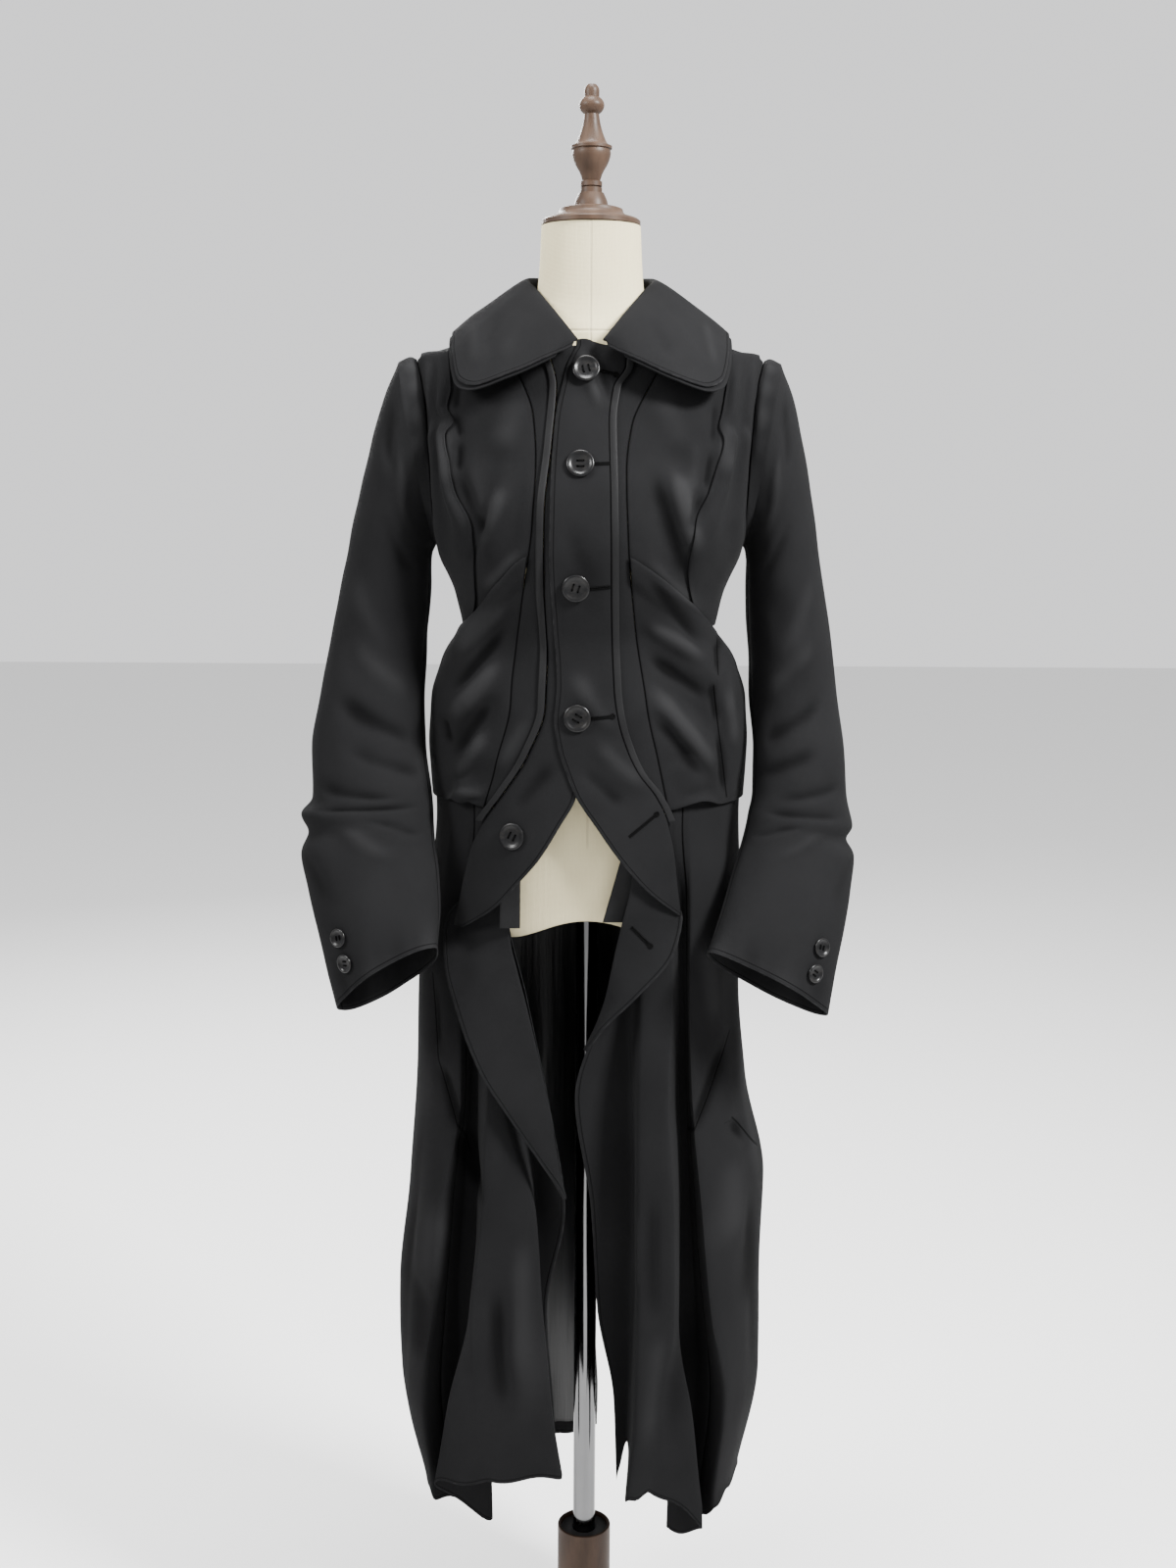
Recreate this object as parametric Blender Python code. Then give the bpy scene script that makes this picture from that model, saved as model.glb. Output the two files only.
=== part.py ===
# Black wool tail coat with a draped skirt, on a limbless dress form that stands on a pole and a round base.
# Tables are in millimetres: +X is the wearer's left, -Y the front, +Z up, floor at 0.
# Suffix _l is the wearer's left (+X) and _r the wearer's right (-X).

import math
from collections import namedtuple

import bmesh
import bpy
from mathutils import Matrix, Vector
from mathutils.bvhtree import BVHTree

MM = 0.001

# cloth
WALL = 1.6               # thickness of one layer of coat cloth
SEAM = 0.3               # gap left between neighbouring pieces
LAYER = WALL + 0.6       # spacing of layers that lie on each other
BINDING_WIDTH = 7.0      # satin binding along the placket
SHOULDER_Z = 1495.0      # where the shoulder seam meets the armhole
UNDERARM_Z = 1310.0      # bottom of the armhole
SKIRT_TOP_Z = 1045.0     # pocket line, where the skirt is sewn on
FRONT_END_Z = 1048.0     # where each centre front runs out under its binding
FRONT_END_WIDTH = 3.0
NECK_SIDE_Z = 1536.0     # top of the fronts, where the neck seam meets the shoulder seam
CHEST_TOP_Z = 1521.0     # top of the side fronts, at the shoulder seam
BINDING_END_Z = 1000.0   # where the satin binding runs out
FRONT_TUCK = 1.5         # how far the left centre front goes in under its placket
SKIRT_LAP = 12.0         # how far the skirt's top edge goes up under the hip panels
SKIRT_INSET = 4.4        # how far inside the hip panels the skirt's top edge hangs
HIP_LAP = 12.0           # how far the panels above go down under the hip drapes
SKIRT_FREE_TOP_L = 988.0 # where each skirt front's free edge starts, under its placket
SKIRT_FREE_TOP_R = 952.0
LINING_WALL = 1.0
LINING_LIFT = -1.9       # middle of the lining, measured from the middle of the skirt's wall
EDGE_STEP = 0.004        # step along a surface's shares that its slopes are taken over

# dress form, pole and base
POLE_RADIUS = 12.5
POLE_TOP_Z = 968.0
BORE_RADIUS = 12.8       # hole down the post
FORM_BORE_RADIUS = 13.2  # hole up into the form
FORM_BOSS_RADIUS = 27.2  # flat ring about that hole
BORE_TOP_Z = 972.0
BORE_MOUTH_Z = 932.0
FORM_ARCH_RISE = 21.0    # how far the form's lower edge arches up at its front and back
FORM_ARCH_ANGLE = 34.6   # how far round from there the arch reaches
FORM_RIM_SHARE = 0.89    # size of the hollow underside, as a share of the lower edge
FORM_RIM_RISE = 4.0
BASE_RADIUS = 170.0
BASE_HEIGHT = 25.0
POST_RADIUS = 30.0
POST_TOP_Z = 195.0
POST_LIP = 3.0
POST_RECESS = 12.0
POST_COLLAR_HEIGHT = 7.5
POST_COLLAR_BEVEL = 1.5
NECK_TOP_Z = 1628.0

# buttons
FRONT_BUTTON_RADIUS = 13.5
CUFF_BUTTON_RADIUS = 9.5
BUTTON_THICKNESS = 3.4

# the collar's two layers, measured from the surface the collar is drawn on
COLLAR_WALL = 2.0
COLLAR_LIFT = 1.6
UNDERCOLLAR_LIFT = -0.8
UNDERCOLLAR_START = 0.5  # share of the collar's depth at which the undercollar starts
UNDERCOLLAR_END = 1.1    # and ends, past the collar's edge

# gathered layers beside the armhole
DRAPE_RIDGE = 5.0
DRAPE_EASE = 0.8
PINCH_L = 1426.0
PINCH_R = 1430.0
PINCH_HEIGHT = 9.0

LOOKS = {
    # look: (red, green, blue, roughness, metallic)
    "wool": (0.018, 0.018, 0.020, 0.85, 0.0),
    "satin": (0.030, 0.030, 0.034, 0.40, 0.0),
    "lining": (0.006, 0.006, 0.007, 0.30, 0.0),
    "button": (0.012, 0.012, 0.013, 0.25, 0.0),
    "linen": (0.78, 0.74, 0.64, 0.90, 0.0),
    "walnut": (0.085, 0.035, 0.018, 0.45, 0.0),
    "chrome": (0.80, 0.80, 0.82, 0.12, 1.0),
    "rubber": (0.03, 0.03, 0.03, 0.60, 0.0),
}

# heights at which every bodice piece has a row of points
BODY_LEVELS = [
    1524, 1508, 1495, 1478, 1460, 1440, 1420, 1400, 1367, 1333,
    1300, 1267, 1233, 1200, 1167, 1133, 1100, 1070,
]

Ring = namedtuple("Ring", "z half_width front back power")

FORM_RINGS = [
    Ring(1628, 50.5, 48, 48, 2.0),
    Ring(1580, 53, 49, 50, 2.0),
    Ring(1556, 56, 50, 54, 2.0),
    Ring(1536, 69, 54, 63, 1.85),
    Ring(1520, 96.8, 60, 70, 1.63),
    Ring(1504, 133, 63, 73, 1.6),
    Ring(1486, 155, 69, 79, 1.75),
    Ring(1465, 158, 76, 86, 1.95),
    Ring(1440, 158, 88, 94, 2.1),
    Ring(1400, 155, 103, 98, 2.3),
    Ring(1350, 150, 117, 98, 2.3),
    Ring(1310, 145, 121, 94, 2.2),
    Ring(1261, 127, 113, 84, 2.2),
    Ring(1210, 116, 101, 76, 2.1),
    Ring(1160, 113, 95, 74, 2.1),
    Ring(1110, 128, 97, 84, 2.1),
    Ring(1045, 147, 101, 97, 2.1),
    Ring(990, 154, 103, 104, 2.1),
    Ring(906, 148, 97, 100, 2.1),
]

# the fitted upper body of the coat
BODY_RINGS = [
    Ring(1548, 63, 58, 66, 2.0),
    Ring(1536, 77, 62, 72, 1.8),
    Ring(1520, 105, 67, 78, 1.6),
    Ring(1506, 148, 71, 81, 1.55),
    Ring(SHOULDER_Z, 178, 77, 86, 1.65),
    Ring(1470, 183, 87, 97, 1.9),
    Ring(1440, 182, 99, 105, 2.1),
    Ring(1400, 176, 114, 109, 2.3),
    Ring(1350, 167, 128, 108, 2.4),
    Ring(UNDERARM_Z, 158, 132, 104, 2.3),
    Ring(1261, 138, 124, 94, 2.2),
    Ring(1210, 127, 112, 86, 2.1),
    Ring(1150, 124, 106, 84, 2.1),
]

# the fuller shape from the waist down, on which the hip drapes and the lower fronts hang
HIP_RINGS = [
    Ring(1310, 166, 138, 112, 2.2),
    Ring(1250, 146, 130, 104, 2.1),
    Ring(1215, 145, 127, 102, 2.0),
    Ring(1180, 157, 124, 102, 2.0),
    Ring(1150, 165, 122, 106, 2.0),
    Ring(1095, 168, 124, 114, 1.95),
    Ring(SKIRT_TOP_Z, 165, 130, 120, 1.95),
    Ring(1000, 164, 136, 124, 1.95),
    Ring(945, 166, 141, 126, 1.95),
    Ring(900, 170, 144, 128, 1.95),
]

# where the body gives way to the fuller hip shape along the centre front and centre back
CENTRE_PUFF = {"start_z": 1225.0, "end_z": 1140.0}

# seams on the fronts: x of each seam at height z, for both sides
Seam = namedtuple("Seam", "z x")

ARMHOLE = [
    Seam(SHOULDER_Z, 178),
    Seam(1462, 168.5),
    Seam(1425, 164),
    Seam(1375, 160.5),
    Seam(1332, 158.5),
    Seam(UNDERARM_Z, 158),
]

PRINCESS_L = [
    Seam(1524, 96),
    Seam(1497, 78),
    Seam(1469, 61),
    Seam(1426, 41),
    Seam(1383, 36),
    Seam(1316, 38),
    Seam(1247, 44),
    Seam(1222, 47),
    Seam(1150, 58),
    Seam(1097, 70),
    Seam(1040, 82),
]

PRINCESS_R = [
    Seam(1524, 96),
    Seam(1500, 81),
    Seam(1473, 69),
    Seam(1437, 56),
    Seam(1397, 53),
    Seam(1329, 56),
    Seam(1259, 66),
    Seam(1196, 74),
    Seam(1150, 78),
    Seam(1096, 91),
    Seam(1040, 107),
]

SIDE_BACK = [
    Seam(1440, 165.8),
    Seam(1422, 151),
    Seam(1400, 135),
    Seam(1370, 118),
    Seam(1335, 103),
    Seam(1290, 88),
    Seam(1240, 78),
    Seam(1180, 70),
    Seam(1110, 82),
    Seam(1040, 98),
]

# neck seam: its angle round the neck at height z
Neck = namedtuple("Neck", "z angle")

NECKLINE = [
    Neck(1500, 14),
    Neck(1503, 24),
    Neck(1512, 40),
    Neck(1524, 58),
    Neck(1537, 86),
    Neck(1544, 180),
]

# plackets and bindings: the two edges of each strip at height z
Strip = namedtuple("Strip", "z inner outer")

# wearer's left placket, on top: free edge, then the edge sewn to the binding
PLACKET_L = [
    Strip(1501, -14, 36),
    Strip(1484, -23, 35),
    Strip(1463, -28, 23),
    Strip(1431, -34, 19),
    Strip(1370, -38, 20.5),
    Strip(1302, -39, 21.5),
    Strip(1234, -35, 22.5),
    Strip(1170, -31, 25),
    Strip(1138, -34, 29.5),
    Strip(1110, -30, 38),
    Strip(1085, -22, 49),
    Strip(1061, -12, 67),
    Strip(1034, 6, 80),
    Strip(996, 33, 88),
    Strip(965, 60, 91.5),
    Strip(938, 92, 95),
]

# wearer's right placket, underneath: edge hidden by the other placket, then the bound edge
PLACKET_R = [
    Strip(1500, -6, -42),
    Strip(1464, -4, -33),
    Strip(1411, -8, -37),
    Strip(1342, -10, -44),
    Strip(1275, -10, -45),
    Strip(1201, -6, -41),
    Strip(1150, -4, -43),
    Strip(1102, -4, -60),
    Strip(1060, -12, -86),
    Strip(1031, -28, -106),
    Strip(998, -48, -121),
    Strip(974, -68, -127),
    Strip(946, -92, -133),
    Strip(918, -128, -139),
]

# layers over the chest that run from the shoulder to the underarm, gathered in at a pinch
DRAPE_L = [
    Strip(1500, 142, 172),
    Strip(1462, 134, 166),
    Strip(1440, 130, 162),
    Strip(1426, 127, 160),
    Strip(1412, 130, 159),
    Strip(1389, 125, 157),
    Strip(1360, 117, 156),
    Strip(1322, 98, 156),
    Strip(1296, 97, 152),
    Strip(1262, 99, 136),
    Strip(1226, 112, 128),
]

DRAPE_R = [
    Strip(1500, -142, -172),
    Strip(1462, -138, -166),
    Strip(1444, -141, -162),
    Strip(1430, -135, -160),
    Strip(1416, -141, -159),
    Strip(1392, -137, -157),
    Strip(1365, -133, -156),
    Strip(1322, -114, -156),
    Strip(1296, -113, -152),
    Strip(1262, -112, -136),
    Strip(1226, -118, -128),
]

# top edge of each hip drape: x and z from the princess seam to the side, then z at the back seam
HIP_EDGE_L = {"start_x": 40, "start_z": 1300, "mid_x": 92, "mid_z": 1256, "side_z": 1212, "back_z": 1240}
HIP_EDGE_R = {"start_x": 62, "start_z": 1300, "mid_x": 105, "mid_z": 1240, "side_z": 1216, "back_z": 1240}
HIP_SWELL = 36.0         # the drape reaches its full swell this far below its top edge
HIP_BACK_ANGLE = 146.0   # where its top edge meets the back seam
POCKET_RISE = 7.0        # how far its lower edge sags open at the pocket
POCKET_END = 0.24        # share of its width that the pocket takes
HIP_RIM = 1.2            # its top edge stands off the panels above by this much at its ends
HIP_RIM_LOOSE = 3.0      # and by this much more between them

# soft ridges (height > 0) and troughs (height < 0) on the body, each from one end (x, z) to the other
Fold = namedtuple("Fold", "x1 z1 x2 z2 width height")

BODY_FOLDS = [
    Fold(120, 1330, 62, 1440, 16, -3.0),
    Fold(112, 1262, 74, 1400, 13, 3.5),
    Fold(96, 1250, 55, 1380, 12, -3.5),
    Fold(-118, 1325, -88, 1420, 15, -3.0),
    Fold(-104, 1252, -76, 1400, 13, 3.5),
    Fold(-88, 1252, -66, 1400, 12, -3.5),
]

HIP_FOLDS = [
    Fold(70, 1240, 150, 1150, 14, 5.5),
    Fold(70, 1190, 152, 1100, 13, -5.0),
    Fold(76, 1160, 140, 1062, 13, 5.0),
    Fold(92, 1100, 112, 1056, 14, 5.0),
    Fold(-82, 1230, -150, 1120, 15, 5.5),
    Fold(-86, 1180, -148, 1085, 14, -5.0),
    Fold(-104, 1120, -140, 1060, 13, 5.0),
    Fold(-128, 1074, -118, 1052, 12, 6.0),
]

# The skirt's fold lines, from the front edge round to the centre back. Each has the angle at which it
# leaves the pocket line, its x (outwards from the middle) and y at seven heights, and how round the cloth
# turns there (0 is a crease).
SKIRT_HEIGHTS = (945, 850, 740, 620, 500, 400, 290)
Line = namedtuple("Line", "name start x y soft")

SKIRT_L = [
    Line("free", 17, (48, 22, -12, 5, 13, 31, 36), (-112, -112, -108, -100, -96, -94, -94), 1.0),
    Line("valley", 21, (54, 42, 46, 50, 50, 48, 44), (-104, -98, -92, -90, -90, -90, -92), 0.7),
    Line("pleat_in", 24, (60, 56, 53, 54, 55, 54, 44), (-110, -118, -130, -132, -133, -134, -132), 0.5),
    Line("pleat_out", 30, (84, 86, 83, 90, 92, 82, 67), (-108, -116, -128, -130, -131, -131, -126), 0.5),
    Line("kick", 32, (89, 92, 92, 97, 99, 114, 126), (-102, -102, -98, -98, -112, -124, -120), 0.5),
    Line("under", 33, (93, 96, 97, 101, 99, 95, 92), (-96, -90, -82, -76, -76, -74, -72), 0.5),
    Line("recess", 34, (97, 101, 106, 112, 118, 120, 112), (-96, -90, -80, -72, -68, -66, -60), 0.6),
    Line("turn", 41, (106, 106, 110, 122, 134, 150, 140), (-104, -106, -110, -110, -108, -102, -96), 0.5),
    Line("bulge", 60, (146, 142, 152, 170, 174, 176, 158), (-72, -74, -74, -70, -70, -68, -72), 1.0),
    Line("side", 90, (162, 163, 172, 195, 193, 194, 172), (0, 0, 0, 0, 0, 0, 0), 1.0),
    Line("side_back", 128, (126, 128, 134, 152, 152, 152, 138), (86, 86, 90, 100, 104, 104, 98), 1.0),
    Line("back_ridge", 146, (84, 84, 90, 98, 98, 96, 92), (113, 118, 126, 138, 144, 147, 144), 0.8),
    Line("back_valley", 162, (42, 43, 46, 50, 54, 60, 64), (117, 118, 118, 120, 122, 124, 122), 0.8),
    Line("centre", 180, (1, 1, 1, 1, 8, 30, 40), (123, 128, 136, 145, 150, 152, 150), 1.0),
]

SKIRT_R = [
    Line("free", 30, (82, 62, 39, 22, 40, 34, 27), (-98, -112, -118, -112, -95, -94, -97), 1.0),
    Line("valley", 32, (88, 72, 60, 54, 57, 47, 35), (-94, -96, -92, -90, -92, -96, -102), 0.7),
    Line("pleat_in", 34, (94, 92, 86, 53, 45, 35, 19), (-91, -102, -120, -130, -132, -132, -129), 0.4),
    Line("pleat_out", 37, (102, 100, 102, 108, 118, 110, 98), (-89, -102, -122, -130, -131, -130, -126), 0.5),
    Line("kick", 39, (107, 110, 112, 114, 121, 146, 164), (-87, -92, -96, -98, -116, -118, -108), 0.5),
    Line("under", 41, (111, 113, 115, 117, 116, 106, 102), (-85, -85, -80, -76, -78, -74, -74), 0.5),
    Line("recess", 44, (117, 118, 120, 130, 136, 136, 128), (-77, -80, -78, -72, -68, -60, -52), 0.6),
    Line("turn", 50, (130, 133, 131, 151, 162, 174, 165), (-66, -82, -102, -106, -102, -92, -84), 0.5),
    Line("bulge", 64, (152, 162, 164, 178, 188, 192, 174), (-47, -56, -66, -70, -70, -62, -56), 1.0),
    Line("side", 90, (168, 180, 184, 192, 205, 203, 176), (0, 0, 0, 0, 0, 0, 0), 1.0),
    Line("side_back", 128, (130, 134, 138, 148, 156, 156, 140), (86, 86, 90, 100, 104, 104, 98), 1.0),
    Line("back_ridge", 146, (86, 86, 92, 98, 100, 98, 92), (113, 118, 126, 138, 144, 147, 144), 0.8),
    Line("back_valley", 162, (44, 46, 48, 52, 52, 46, 42), (117, 118, 118, 120, 122, 125, 124), 0.8),
    Line("centre", 180, (1, 1, 1, 1, -2, -9, -15), (123, 128, 136, 145, 150, 152, 150), 1.0),
]

# pieces of each half: where each starts and ends, counted in fold lines
SkirtPiece = namedtuple("SkirtPiece", "name first last")

SKIRT_PIECES = [
    SkirtPiece("skirt_front", 0.0, 6.5),
    SkirtPiece("skirt_side", 6.5, 10.0),
    SkirtPiece("skirt_back", 10.0, 13.0),
]

# heights at which every skirt piece has a row of points
SKIRT_LEVELS = [920, 840, 760, 680, 600, 520, 440, 360]

# hem height at each fold line
HEM_L = {"free": 300, "valley": 346, "pleat_in": 300, "pleat_out": 308, "kick": 264, "under": 232,
         "recess": 246, "turn": 268, "bulge": 284, "side": 282, "side_back": 250, "back_ridge": 238,
         "back_valley": 236, "centre": 240}
HEM_R = {"free": 340, "valley": 334, "pleat_in": 328, "pleat_out": 318, "kick": 308, "under": 244,
         "recess": 256, "turn": 276, "bulge": 290, "side": 286, "side_back": 250, "back_ridge": 238,
         "back_valley": 232, "centre": 233}

# turned-back front edges that hang over the skirt: rows from top to tip
Turn = namedtuple("Turn", "z fold_x fold_y edge_x edge_y")
TURN_BULGE = 2.5         # how far their middle stands forward

TURNBACK_L = [
    Turn(986, 46, -128, 58, -126),
    Turn(960, 42, -126, 84, -115),
    Turn(935, 36, -124, 97, -114),
    Turn(903, 29, -120, 90, -124),
    Turn(857, 20, -118, 52, -134),
    Turn(822, 9, -117, 18, -132),
    Turn(796, -3, -118, 1, -124),
]

TURNBACK_R = [
    Turn(950, -84, -103, -126, -82),
    Turn(925, -81, -103, -146, -66),
    Turn(905, -78, -108, -150, -70),
    Turn(880, -71, -120, -148, -90),
    Turn(840, -60, -128, -136, -112),
    Turn(780, -46, -131, -112, -130),
    Turn(730, -36, -134, -80, -138),
    Turn(690, -30, -133, -53, -139),
    Turn(660, -25, -129, -34, -136),
    Turn(638, -20, -124, -23, -128),
]

ROLL_WIDTH = 13.0        # how widely the collar turns over
COLLAR_STAND = 0.28      # share of the collar's depth that stands up inside
COLLAR_COLUMNS = 26
COLLAR_ROWS = [0.0, 0.12, 0.21, 0.26, 0.31, 0.38, 0.50, 0.66, 0.84, 1.0]

# collar, one row for each station from the centre front to the centre back of one side (x is outwards)
Station = namedtuple("Station", "neck_angle roll_x roll_y roll_z edge_x edge_y edge_z under")

COLLAR = [
    Station(14, 14, -88, 1508, 18, -93, 1502, 2),
    Station(22, 25, -77, 1522, 46, -106, 1488, 3),
    Station(34, 38, -56, 1539, 80, -108, 1473, 3),
    Station(48, 49, -34, 1553, 114, -99, 1463, 4),
    Station(60, 56, -18, 1562, 130, -84, 1470, 6),
    Station(72, 62, -4, 1569, 138, -50, 1499, 6),
    Station(88, 66, 10, 1574, 140, -8, 1520, 5),
    Station(108, 62, 30, 1578, 128, 38, 1513, 4),
    Station(140, 42, 54, 1580, 88, 84, 1495, 3),
    Station(180, 0, 68, 1581, 0, 108, 1487, 2),
]

# sleeve sections from the cap to the cuff: outer and inner ends, depth about y, front edge raised by pitch
Section = namedtuple("Section", "outer_x outer_z inner_x inner_z y half_depth pitch")

SLEEVE_R = [
    Section(196, 1492, 161, 1307, 0, 57, 0),
    Section(210, 1462, 163, 1303, 0, 56, 0),
    Section(222, 1424, 165, 1298, 0, 55, 0),
    Section(233, 1380, 166, 1288, 0, 53, 0),
    Section(244, 1334, 166, 1270, 0, 51, 0),
    Section(255, 1282, 168, 1240, -1, 49, 0),
    Section(268, 1222, 171, 1196, -4, 48, 0),
    Section(279, 1160, 173, 1148, -17, 47, 0),
    Section(288, 1100, 171, 1098, -33, 47, 0),
    Section(286, 1048, 164, 1056, -50, 47, 2),
    Section(297, 1030, 162, 1038, -55, 47, 3),
    Section(289, 1012, 161, 1022, -60, 46, 4),
    Section(297, 990, 159, 1002, -66, 46, 6),
    Section(288, 954, 154, 972, -77, 46, 10),
    Section(272, 896, 151, 930, -96, 44, 18),
    Section(254, 836, 152, 898, -110, 42, 24),
]

SLEEVE_L = [
    Section(195, 1492, 161, 1307, 0, 57, 0),
    Section(207, 1462, 163, 1303, 0, 56, 0),
    Section(217, 1424, 164, 1298, 0, 55, 0),
    Section(226, 1380, 165, 1288, 0, 53, 0),
    Section(234, 1334, 165, 1270, 0, 51, 0),
    Section(242, 1282, 166, 1240, -1, 49, 0),
    Section(252, 1222, 169, 1196, -4, 48, 0),
    Section(260, 1160, 170, 1148, -10, 47, 0),
    Section(267, 1100, 173, 1098, -32, 46, 0),
    Section(269, 1052, 172, 1056, -48, 45, 2),
    Section(274, 1022, 167, 1034, -58, 44, 4),
    Section(267, 1008, 164, 1020, -63, 43, 5),
    Section(275, 990, 160, 1006, -70, 43, 6),
    Section(270, 956, 150, 978, -86, 43, 9),
    Section(256, 896, 133, 930, -113, 42, 14),
    Section(242, 838, 121, 901, -129, 40, 18),
]

SLEEVE_SEAM_BACK = -12.0     # degrees round the sleeve, 0 is the outer side and 90 the front
SLEEVE_SEAM_FRONT = 168.0
ARMHOLE_CLEAR = 1.5          # sleeve head stands this far out from the armhole edge

# turned wooden finial and neck cap: height above the neck, radius
Turned = namedtuple("Turned", "height radius")

NECK_CAP = [
    Turned(0.0, 49.0),
    Turned(0.8, 50.3),
    Turned(4.6, 50.3),
    Turned(6.6, 48.0),
    Turned(9.0, 40.0),
    Turned(12.5, 33.5),
    Turned(16.5, 32.0),
    Turned(18.0, 28.0),
    Turned(19.4, 17.5),
    Turned(25.0, 16.2),
    Turned(32.5, 12.8),
]

FINIAL = [
    Turned(32.8, 11.0),
    Turned(37.6, 11.0),
    Turned(38.2, 9.4),
    Turned(39.0, 11.0),
    Turned(43.4, 11.0),
    Turned(44.4, 9.0),
    Turned(52.0, 11.6),
    Turned(62.0, 17.2),
    Turned(71.0, 19.6),
    Turned(74.5, 19.0),
    Turned(75.4, 20.8),
    Turned(78.0, 20.8),
    Turned(80.0, 16.8),
    Turned(86.0, 13.4),
    Turned(98.0, 9.4),
    Turned(109.0, 7.4),
    Turned(112.0, 10.8),
    Turned(117.5, 12.8),
    Turned(122.5, 11.0),
    Turned(125.5, 7.6),
    Turned(134.0, 7.2),
    Turned(137.4, 4.6),
]

# a button's section, as shares of its thickness and radius
BUTTON = [
    Turned(0.0, 0.55),
    Turned(0.60, 1.0),
    Turned(1.0, 0.90),
    Turned(0.62, 0.66),
]
BUTTON_REACH = 30.0      # how far out a button starts before it is laid on its cloth

# front buttons: x and z, and the piece that carries each
FrontButton = namedtuple("FrontButton", "x z carrier")

FRONT_BUTTONS = [
    FrontButton(-4, 1480, "placket_l"),
    FrontButton(-9, 1389, "placket_l"),
    FrontButton(-13, 1269, "placket_l"),
    FrontButton(-11, 1140, "placket_l"),
    FrontButton(-75, 1019, "placket_r"),
]

# cuff buttons: how far up from the hem, counted in sleeve sections, and degrees round the sleeve
CuffButton = namedtuple("CuffButton", "rows_up turn")

CUFF_BUTTONS = [
    CuffButton(1.0, 50.5),
    CuffButton(0.51, 50.0),
]

# dark tabs that hang inside the lower fronts: (x, y, z) of the middle at the top and the bottom
TAB_WIDTH = 21.0
TABS = {
    "tab_l": {"top": (47, -122, 1008), "bottom": (26, -112, 929)},
    "tab_r": {"top": (-78, -109.8, 1002), "bottom": (-79, -111, 922)},
}


class Curve:
    """A smooth curve through values at knots, which never overshoots them."""

    def __init__(self, knots, values):
        pairs = sorted(zip(knots, values))
        self.knots = [knot for knot, _ in pairs]
        self.values = [value for _, value in pairs]
        steps = [
            (b - a) / (k2 - k1)
            for k1, k2, a, b in zip(self.knots, self.knots[1:], self.values, self.values[1:])
        ]
        self.slopes = [steps[0]]
        for before, after in zip(steps, steps[1:]):
            together = before * after > 0
            self.slopes.append(2 * before * after / (before + after) if together else 0.0)
        self.slopes.append(steps[-1])

    def __call__(self, knot):
        if knot <= self.knots[0]:
            return self.values[0]
        if knot >= self.knots[-1]:
            return self.values[-1]
        i = max(j for j, start in enumerate(self.knots) if start <= knot)
        step = self.knots[i + 1] - self.knots[i]
        t = (knot - self.knots[i]) / step
        first, last = self.slopes[i] * step, self.slopes[i + 1] * step
        return hermite(self.values[i], self.values[i + 1], first, last, t)


def hermite(start, end, start_slope, end_slope, t):
    rest = 1 - t
    return (
        start * (1 + 2 * t) * rest * rest
        + start_slope * t * rest * rest
        + end * t * t * (3 - 2 * t)
        - end_slope * t * t * rest
    )


def curves(rows):
    """One smooth curve over z for each other column of a table."""
    heights = [row.z for row in rows]
    return {
        column: Curve(heights, [getattr(row, column) for row in rows])
        for column in rows[0]._fields
        if column != "z"
    }


def ease(value):
    """0 to 1 with level ends."""
    value = min(1.0, max(0.0, value))
    return value * value * (3 - 2 * value)


def mix(a, b, share):
    return a + (b - a) * share


def signed_power(value, power):
    return math.copysign(abs(value) ** power, value)


class Rings:
    """Rounded sections stacked in z. Angle 0 is the front, 90 the wearer's left, 180 the back."""

    def __init__(self, rows):
        self.table = curves(rows)

    def point(self, angle, z):
        power = 2.0 / self.table["power"](z)
        depth = self.table["front" if abs(angle) <= 90 else "back"](z)
        turn = math.radians(angle)
        x = self.table["half_width"](z) * signed_power(math.sin(turn), power)
        y = -depth * signed_power(math.cos(turn), power)
        return Vector((x, y, z))

    def angle(self, x, z):
        """The angle on the front half at which the section at z has this x."""
        share = min(1.0, abs(x) / self.table["half_width"](z))
        turn = math.degrees(math.asin(share ** (self.table["power"](z) / 2)))
        return math.copysign(turn, x)


BODY = Rings(BODY_RINGS)
HIP = Rings(HIP_RINGS)
FORM = Rings(FORM_RINGS)
NECK_ANGLE = Curve([row.z for row in NECKLINE], [row.angle for row in NECKLINE])
NECK_HEIGHT = Curve([row.angle for row in NECKLINE], [row.z for row in NECKLINE])
COLLAR_TABLE = {
    column: Curve(range(len(COLLAR)), [getattr(row, column) for row in COLLAR])
    for column in Station._fields
}


def fold_height(folds, x, z):
    """Height of the soft folds at a place on the front."""
    total = 0.0
    for fold in folds:
        run = Vector((fold.x2 - fold.x1, fold.z2 - fold.z1))
        offset = Vector((x - fold.x1, z - fold.z1))
        share = offset.dot(run) / run.length_squared
        across = (offset - run * share).length
        fade = ease(share * 3) * ease((1 - share) * 3)
        total += fold.height * fade * math.exp(-((across / fold.width) ** 2))
    return total


def centre_puff(z):
    return ease((CENTRE_PUFF["start_z"] - z) / (CENTRE_PUFF["start_z"] - CENTRE_PUFF["end_z"]))


def coat_point(angle, z, puff):
    """A point of the coat's surface, between the fitted body (puff 0) and the fuller hip (puff 1)."""
    point = BODY.point(angle, z).lerp(HIP.point(angle, z), puff)
    if abs(angle) < 90:
        height = mix(fold_height(BODY_FOLDS, point.x, z), fold_height(HIP_FOLDS, point.x, z), puff)
        outward = Vector((point.x, point.y, 0)).normalized()
        point += outward * height
    return point


def coat_angle(x, z, puff):
    """The angle on the front at which the coat has this x."""
    return mix(BODY.angle(x, z), HIP.angle(x, z), puff)


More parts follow.
